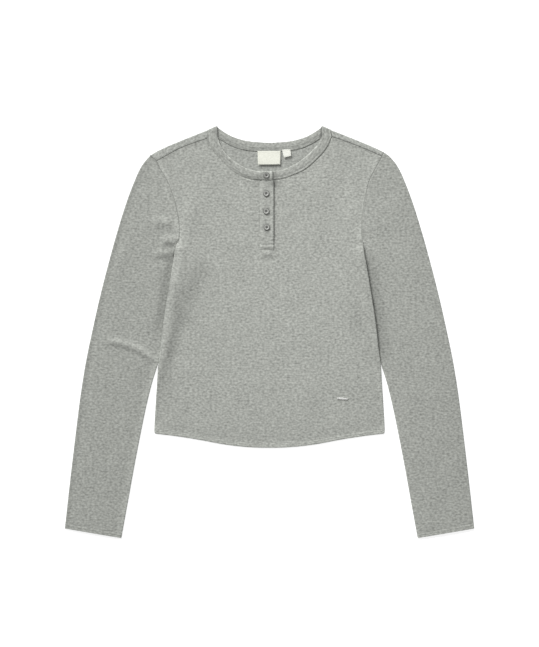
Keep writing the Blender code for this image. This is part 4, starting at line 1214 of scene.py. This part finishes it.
def make_under_placket():
    outline = rectangle(SLOT_LEFT + SEAM_GAP, SLOT_RIGHT - SEAM_GAP, SLOT_BOTTOM + SEAM_GAP,
                        PLACKET_TOP, 1.5)
    flat, faces, rim = plan_mesh(outline, 1.6)
    laid = np.column_stack((flat, front_middle(flat, fine=False)))
    return shell("placket_under_knit", flat, faces, rim, laid, SHELL, KNIT)


def make_upper_placket():
    """The strip that shows: sewn flat on the left and at its foot, and loose on the right."""
    left, right, foot = PLACKET_LEFT, PLACKET_RIGHT, PLACKET_BOTTOM
    flat, faces, rim = plan_mesh(rectangle(left, right, foot, PLACKET_TOP, 1.2), 1.2)
    x, y = flat.T
    upper_row, lower_row = BOX_STITCHES
    sunk = CLOTH / 2 + SEAM_GAP + PLACKET_CLOTH / 2 + 0.1
    z = placket_middle(flat) - sunk * (1 - ramp(x, left + 0.4, left + 5.9) * ramp(y, foot, foot + 3.0))
    z += 1.1 * ramp(x, right - 5, right) * ramp(y, 150, 162)
    z += lines(x, (-0.3, right - EDGE_STITCH, 0.6))
    z += lines(y, (0.5, 143.9, 1.8), (-0.5, upper_row, 0.8), (-0.18, lower_row, 0.6))
    # painted shade in the grooves of the box stitches, and painted highlights on the puff between them and
    # along the foot
    foot_painted_shading = lines(y, (-0.32, upper_row, 0.8), (-0.02, lower_row, 0.6), (0.06, 144.4, 1.4),
                      (0.38, foot + 0.6, 1.5))
    shade = 1 + foot_painted_shading * ramp(x, left + 2, left + 4) - band_end_shadow(x, y)
    # painted shade along the loose edge, and in a ring round each button
    shade += lines(x, (-0.04, right, 1.2)) * ramp(y, 150, 160)
    for button_x, button_y in BUTTONS:
        shade += lines(np.hypot(x - button_x, y - button_y), (-0.13, 6.1, 1.1))
    laid = np.column_stack((flat, z))
    return shell("placket_upper_knit", flat, faces, rim, laid, PLACKET_CLOTH, KNIT, shade)


HOLES = ((-0.75, 0.85), (0.75, 0.85), (-0.75, -0.85), (0.75, -0.85))
# A button's profile, from its centre out: share of the radius, and depth below its highest point.
BUTTON_TOP = np.array((
    (0.0, BUTTON_RIM), (0.46, BUTTON_RIM), (0.52, 0.40), (0.60, 0.22), (0.70, 0.06), (0.77, 0.0),
    (0.83, 0.04), (0.89, 0.18), (0.95, 0.45), (1.0, 1.0)))
# Round its side and below: share of the radius, and height.
BUTTON_SIDE = ((1.0, BUTTON_HEIGHT - 1.5), (0.96, 0.9), (0.86, 0.35), (0.7, 0.1))


def circle(radius, count):
    angles = np.linspace(0, 2 * math.pi, count, endpoint=False)
    return np.column_stack((np.cos(angles), np.sin(angles))) * radius


def make_button(index, centre, seat):
    """A rimmed button with four holes."""
    radius = BUTTON_RADIUS
    flat, faces, edge = plan_mesh(circle(radius * 0.999, 56), 0.34,
                                  [circle(share * radius, 40)[:-1] for share in (0.4, 0.7)])
    reach = np.hypot(*flat.T) / radius
    hollow = sum(ramp(np.hypot(flat[:, 0] - x, flat[:, 1] - y), 0.6, 0.3) for x, y in HOLES)
    z = BUTTON_HEIGHT - np.interp(reach, *BUTTON_TOP.T) - 0.9 * hollow
    # painted shade in the centre, on the rim's outer slope and in the holes, and a painted highlight on the
    # slope inside the rim, dimmer on the top button
    painted_highlight = 1.05 if index == 1 else 1.5
    shade = np.interp(reach, (0.0, 0.42, 0.50, 0.58, 0.74, 0.82, 0.92, 1.0),
                      (0.66, 0.62, 1.00, painted_highlight, painted_highlight, 0.72, 0.42, 0.40)) * (1 - 0.75 * hollow)
    side = [np.column_stack((flat[edge] * share, np.full(len(edge), height)))
            for share, height in BUTTON_SIDE]
    points = np.vstack([np.column_stack((flat, z))] + side + [(0.0, 0.0, 0.0)])
    all_faces = [tuple(face) for face in faces]
    before = list(edge)
    for step in range(len(side)):
        ring = [len(flat) + step * len(edge) + i for i in range(len(edge))]
        all_faces += [(before[i - 1], ring[i - 1], ring[i], before[i]) for i in range(len(edge))]
        before = ring
    all_faces += [(before[i - 1], len(points) - 1, before[i]) for i in range(len(edge))]
    # painted shade round the side and below
    shade = np.concatenate((shade, np.full(len(points) - len(flat), 0.45)))
    return add_mesh(f"button_{index}_horn", points + (*centre, seat), all_faces, HORN, None, shade)


def sewing_thread(index, centre, seat):
    """Two crossed turns of thread through a button's holes."""
    points, faces = [], []
    top = seat + BUTTON_HEIGHT - BUTTON_RIM
    steps, sides = 9, 6
    ring = np.linspace(0, 2 * math.pi, sides, endpoint=False)
    for start, end in ((HOLES[0], HOLES[3]), (HOLES[1], HOLES[2])):
        start, end = np.array(start), np.array(end)
        direction = units(end - start)
        across = np.array((-direction[1], direction[0]))
        first = len(points)
        for t in np.linspace(0, 1, steps):
            arch = 0.34 * math.sin(math.pi * t) ** 0.5 - 0.5 * abs(2 * t - 1) ** 6
            for angle in ring:
                plan = start + (end - start) * t + across * math.cos(angle) * 0.26
                points.append((*(plan + centre), top + arch + 0.2 * math.sin(angle)))
        faces += [tuple(first + i for i in face) for face in tube_faces(steps, sides)]
    return add_mesh(f"button_{index}_thread", points, faces, DARK_THREAD)


def make_label(name, corners, material, stand):
    """A woven label that hangs from the neck seam and stands a little off the back at its foot."""
    corners = np.asarray(corners, float)
    flat, faces, rim = plan_mesh(closed_line(corners, 1.2), 1.2)
    low, high = corners[:, 1].min(), corners[:, 1].max()
    down = (high - flat[:, 1]) / (high - low)
    z = BAND_CLOTH + SEAM_GAP + LABEL_CLOTH / 2 + stand * smooth_step(down / 0.9)
    z += 0.12 * lattice(71, flat, (9, 7))
    ends = np.minimum(line_distance(flat, corners[[0, 3]])[0], line_distance(flat, corners[[1, 2]])[0])
    shade = 1 + lines(ends, (-0.09, 1.9, 0.7), (0.03, 0.0, 1.2))
    return shell(name, flat, faces, rim, np.column_stack((flat, z)), LABEL_CLOTH, material, shade)


def make_plate():
    """A slim metal bar, bowed on both long sides and pointed at both ends."""
    turn = math.radians(PLATE_TURN)
    steps = 48
    outline = []
    for step in range(steps):
        angle = 2 * math.pi * step / steps
        u = PLATE_LENGTH / 2 * math.cos(angle)
        is_end = step % (steps // 2) == 0
        v = 0.0 if is_end else PLATE_WIDTH / 2 * math.sin(angle) * abs(math.sin(angle)) ** -0.25
        outline.append((PLATE_CENTRE[0] + u * math.cos(turn) - v * math.sin(turn),
                        PLATE_CENTRE[1] - PLATE_DROP + u * math.sin(turn) + v * math.cos(turn)))
    outline = np.array(outline)
    flat, faces, rim = plan_mesh(outline, 0.6)
    edge = line_distance(flat, outline, closed=True)[0]
    over = CLOTH / 2 + SEAM_GAP + PLATE_THICKNESS / 2 + PLATE_CLEAR
    base = float(front_middle(np.array([PLATE_CENTRE]), fine=False)[0]) + over
    laid = np.column_stack((flat, base + 0.25 * smooth_step(edge / 1.6)))
    return shell("plate_metal", flat, faces, rim, laid, PLATE_SHELL, STEEL)


# ---------------------------------------------------------------- seams and rows of stitches
PIECES = {}


def dress(piece, *nodes):
    """A finished piece that stands for CAD nodes."""
    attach(piece, "root")
    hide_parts(*nodes)
    PIECES[nodes[0]] = piece


def lay_seam(name, plan, height, half_width=0.9, material=DEEP_SHADED_SEAM_KNIT, shade=1.0):
    """The edge of the cloth that shows in the gap of a seam.  The darker seam knits paint the gap's shade.
    """
    path = np.column_stack((plan, np.broadcast_to(height, len(plan))))
    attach(ribbon(name, path, half_width, SEAM_THICKNESS, material, shade), "root")


def sew(name, rows, piece, material, side=1, **sizes):
    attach(stitches(name, rows, PIECES[piece], material, side=side, **sizes), "root")


def offset_line(line, distance):
    """An open plan line moved to its left."""
    ahead = units(np.gradient(line, axis=0))
    return line + np.column_stack((-ahead[:, 1], ahead[:, 0])) * distance


def both_sides(half):
    """A line that starts at the centre on the right, with its mirror image before it."""
    return np.vstack([mirrored(half, sign)[::-sign] for sign in (-1, 1)])


def lay_side_seams(side, sign):
    """Armhole, side and neck seams of one side."""
    left = sign < 0
    plan = mirrored(armhole_points(side), sign)
    y = plan[:, 1]
    low_end = ramp(y, 156, 152) * left
    # the armhole seam's strip: painted light at the left one's low end, painted shade towards the shoulder
    shade_from = 262 if left else 215
    shade = 1 + 0.25 * low_end - 0.45 * ramp(y, shade_from, shade_from + 30)
    lay_seam(f"armhole_seam_{side}", plan, front_rim(y) + 0.2 + 0.35 * low_end, material=SHADED_SEAM_KNIT,
             shade=shade)
    lay_seam(f"armhole_seam_{side}_under", plan, 0.6)
    below = stations(UNDERARM_Y + 3, UNDERARM_Y - 34, 3.0)
    plan = mirrored(np.column_stack(((body_side(below) + sleeve_inner(below)) / 2, below)), sign)
    lay_seam(f"side_seam_{side}", plan, 2.3 + 0.9 * ramp(below, 120, 128) * left, 2.2, SHADED_SEAM_KNIT)
    neck = mirrored(band_front(side)[:, 3:5], sign)
    lay_seam(f"neck_seam_{side}", neck[np.abs(neck[:, 0]) > 12], UPPER, material=SHADED_SEAM_KNIT)


def sew_hem_and_cuffs():
    hem = hem_line()
    rows = [offset_line(hem, HEM_WIDTH), offset_line(hem, HEM_WIDTH - HEM_ROWS_APART)]
    sew("hem_stitches", rows, "front", THREAD)
    sew("hem_stitches_under", rows, "back", THREAD, side=-1)
    for side, sign in SIDES.items():
        sleeve = Sleeve(side)
        shares = np.linspace(0.03, 0.97, 60)
        rings = [Sleeve.LAST - from_end / Sleeve.RING_LENGTH
                 for from_end in (CUFF_WIDTH, CUFF_WIDTH - CUFF_ROWS_APART)]
        rows = [mirrored(sleeve.place(shares, np.full(len(shares), ring)), sign) for ring in rings]
        sew(f"cuff_stitches_{side}", rows, sleeve.name, THREAD)
        sew(f"cuff_stitches_{side}_under", rows, sleeve.name, THREAD, side=-1)


def band_stitch_row(rows):
    free, seam = rows[:, :2], rows[:, 3:5]
    return seam - units(seam - free) * BAND_STITCH


def sew_neckband_and_placket():
    rows = []
    for side, sign in SIDES.items():
        half = band_front(side)
        rows.append(mirrored(band_stitch_row(half[half[:, 3] > 6]), sign))
    rows.append(both_sides(band_stitch_row(band_back())))
    sew("neckband_stitches", rows, "neckband", THREAD, length=1.9)
    rows = [((PLACKET_LEFT + 2.5, y), (PLACKET_RIGHT - 2.4, y)) for y in BOX_STITCHES]
    x = PLACKET_RIGHT - EDGE_STITCH
    rows.append(((x, BOX_STITCHES[0]), (x, PLACKET_TOP - 1)))
    sew("placket_stitches", rows, "placket_upper", THREAD, length=1.9)


def sew_labels():
    """Both ends of the neck label, and the tag's upper edge."""
    a, b, c, d = np.array(NECK_LABEL)
    ends = [(d + (a - d) * 0.04 + (b - a) * 0.05, a + (d - a) * 0.04 + (b - a) * 0.05),
            (c + (b - c) * 0.04 + (a - b) * 0.05, b + (c - b) * 0.04 + (a - b) * 0.05)]
    sew("label_stitches", ends, "neck_label", PALE_THREAD, length=1.2, gap=0.5, radius=0.14)
    a, b, c, d = np.array(SIZE_TAG)
    top = [(d + (a - d) * 0.12 + (c - d) * 0.08, c + (b - c) * 0.12 + (d - c) * 0.08)]
    sew("tag_stitches", top, "size_tag", PALE_THREAD, length=1.2, gap=0.5, radius=0.14)


# ---------------------------------------------------------------- the shirt
dress(make_back(), "back")
dress(make_front(), "front")
for side in SIDES:
    dress(make_sleeve(side), "sleeve_" + side)
dress(make_neckband(), "neckband")
dress(make_under_placket(), "placket_under")
dress(make_upper_placket(), "placket_upper")
for index, centre in enumerate(BUTTONS, 1):
    seat = float(placket_middle(np.array([centre]))[0]) + PLACKET_CLOTH / 2 + SEAM_GAP
    if index == 1:
        seat = NECKBAND_FRONT["left"][0][4] + BAND_CLOTH / 2 + SEAM_GAP
    dress(make_button(index, centre, seat), f"button_{index}")
    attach(sewing_thread(index, centre, seat), "root")
dress(make_label("label_woven", NECK_LABEL, CREAM, 1.7), "neck_label")
tag = np.array(SIZE_TAG)
tag[:2] += (tag[[3, 2]] - tag[:2]) * TAG_SHORTENING
dress(make_label("tag_woven", tag, WHITE, 1.6), "size_tag")
dress(make_plate(), "hem_plate")

for side, sign in SIDES.items():
    lay_side_seams(side, sign)
lay_seam("neck_seam_back", both_sides(band_back()[:, 3:5]), 0.55, material=SHADED_INNER_KNIT)
sew_hem_and_cuffs()
sew_neckband_and_placket()
sew_labels()


# ---------------------------------------------------------------- floor, light and camera
PIXEL = 1.68 * MM                          # size of a pixel of the photo at the shirt
PHOTO_HEIGHT = 647
VIEW_CENTRE_Y = 0.0144


def make_floor():
    shader = Shader("floor_white", 0.9, **{"Base Color": (0.5, 0.5, 0.5, 1.0),
                                           "Specular IOR Level": 0.0,
                                           "Emission Color": (1.0, 1.0, 1.0, 1.0),
                                           "Emission Strength": 0.78})
    mesh = bpy.data.meshes.new("floor")
    size = 12.0
    mesh.from_pydata([(-size, -size, 0), (size, -size, 0), (size, size, 0), (-size, size, 0)],
                     [], [(0, 1, 2, 3)])
    mesh.materials.append(shader.material)
    floor = add_to_scene("floor", mesh)
    floor.location.z = -0.0002             # just clear of the underside


def add_light(name, kind, power, toward, **settings):
    """A lamp that shines from the direction `toward`."""
    lamp = bpy.data.lights.new(name, kind)
    lamp.energy = power
    for setting, value in settings.items():
        setattr(lamp, setting, value)
    light = add_to_scene(name, lamp)
    light.rotation_euler = (Vector() - Vector(toward)).to_track_quat("-Z", "Y").to_euler()
    return light


def make_world():
    world = bpy.data.worlds.new("studio")
    world.use_nodes = True
    sockets = world.node_tree.nodes["Background"].inputs
    sockets["Color"].default_value = (1.0, 1.0, 1.0, 1.0)
    sockets["Strength"].default_value = 0.30
    bpy.context.scene.world = world
    bpy.context.scene.view_settings.view_transform = "Standard"


def make_camera():
    """Straight above, as far off as makes the picture as high as the photo."""
    camera = bpy.data.cameras.new("camera")
    camera.sensor_width = 36.0
    camera.lens = 100.0
    obj = add_to_scene("camera", camera)
    distance = PHOTO_HEIGHT * PIXEL * camera.lens / camera.sensor_width
    obj.location = (0.0, VIEW_CENTRE_Y, distance + SHIRT_MIDDLE * MM)
    bpy.context.scene.camera = obj


make_floor()
add_light("key", "SUN", 3.25, (-0.42, 0.70, 0.57), angle=math.radians(28.0))
overhead = add_light("overhead", "AREA", 0.45, (0.0, 0.0, 1.0), shape="DISK", size=0.3)
overhead.location = (0.03, 0.17, 0.5)
make_world()
make_camera()
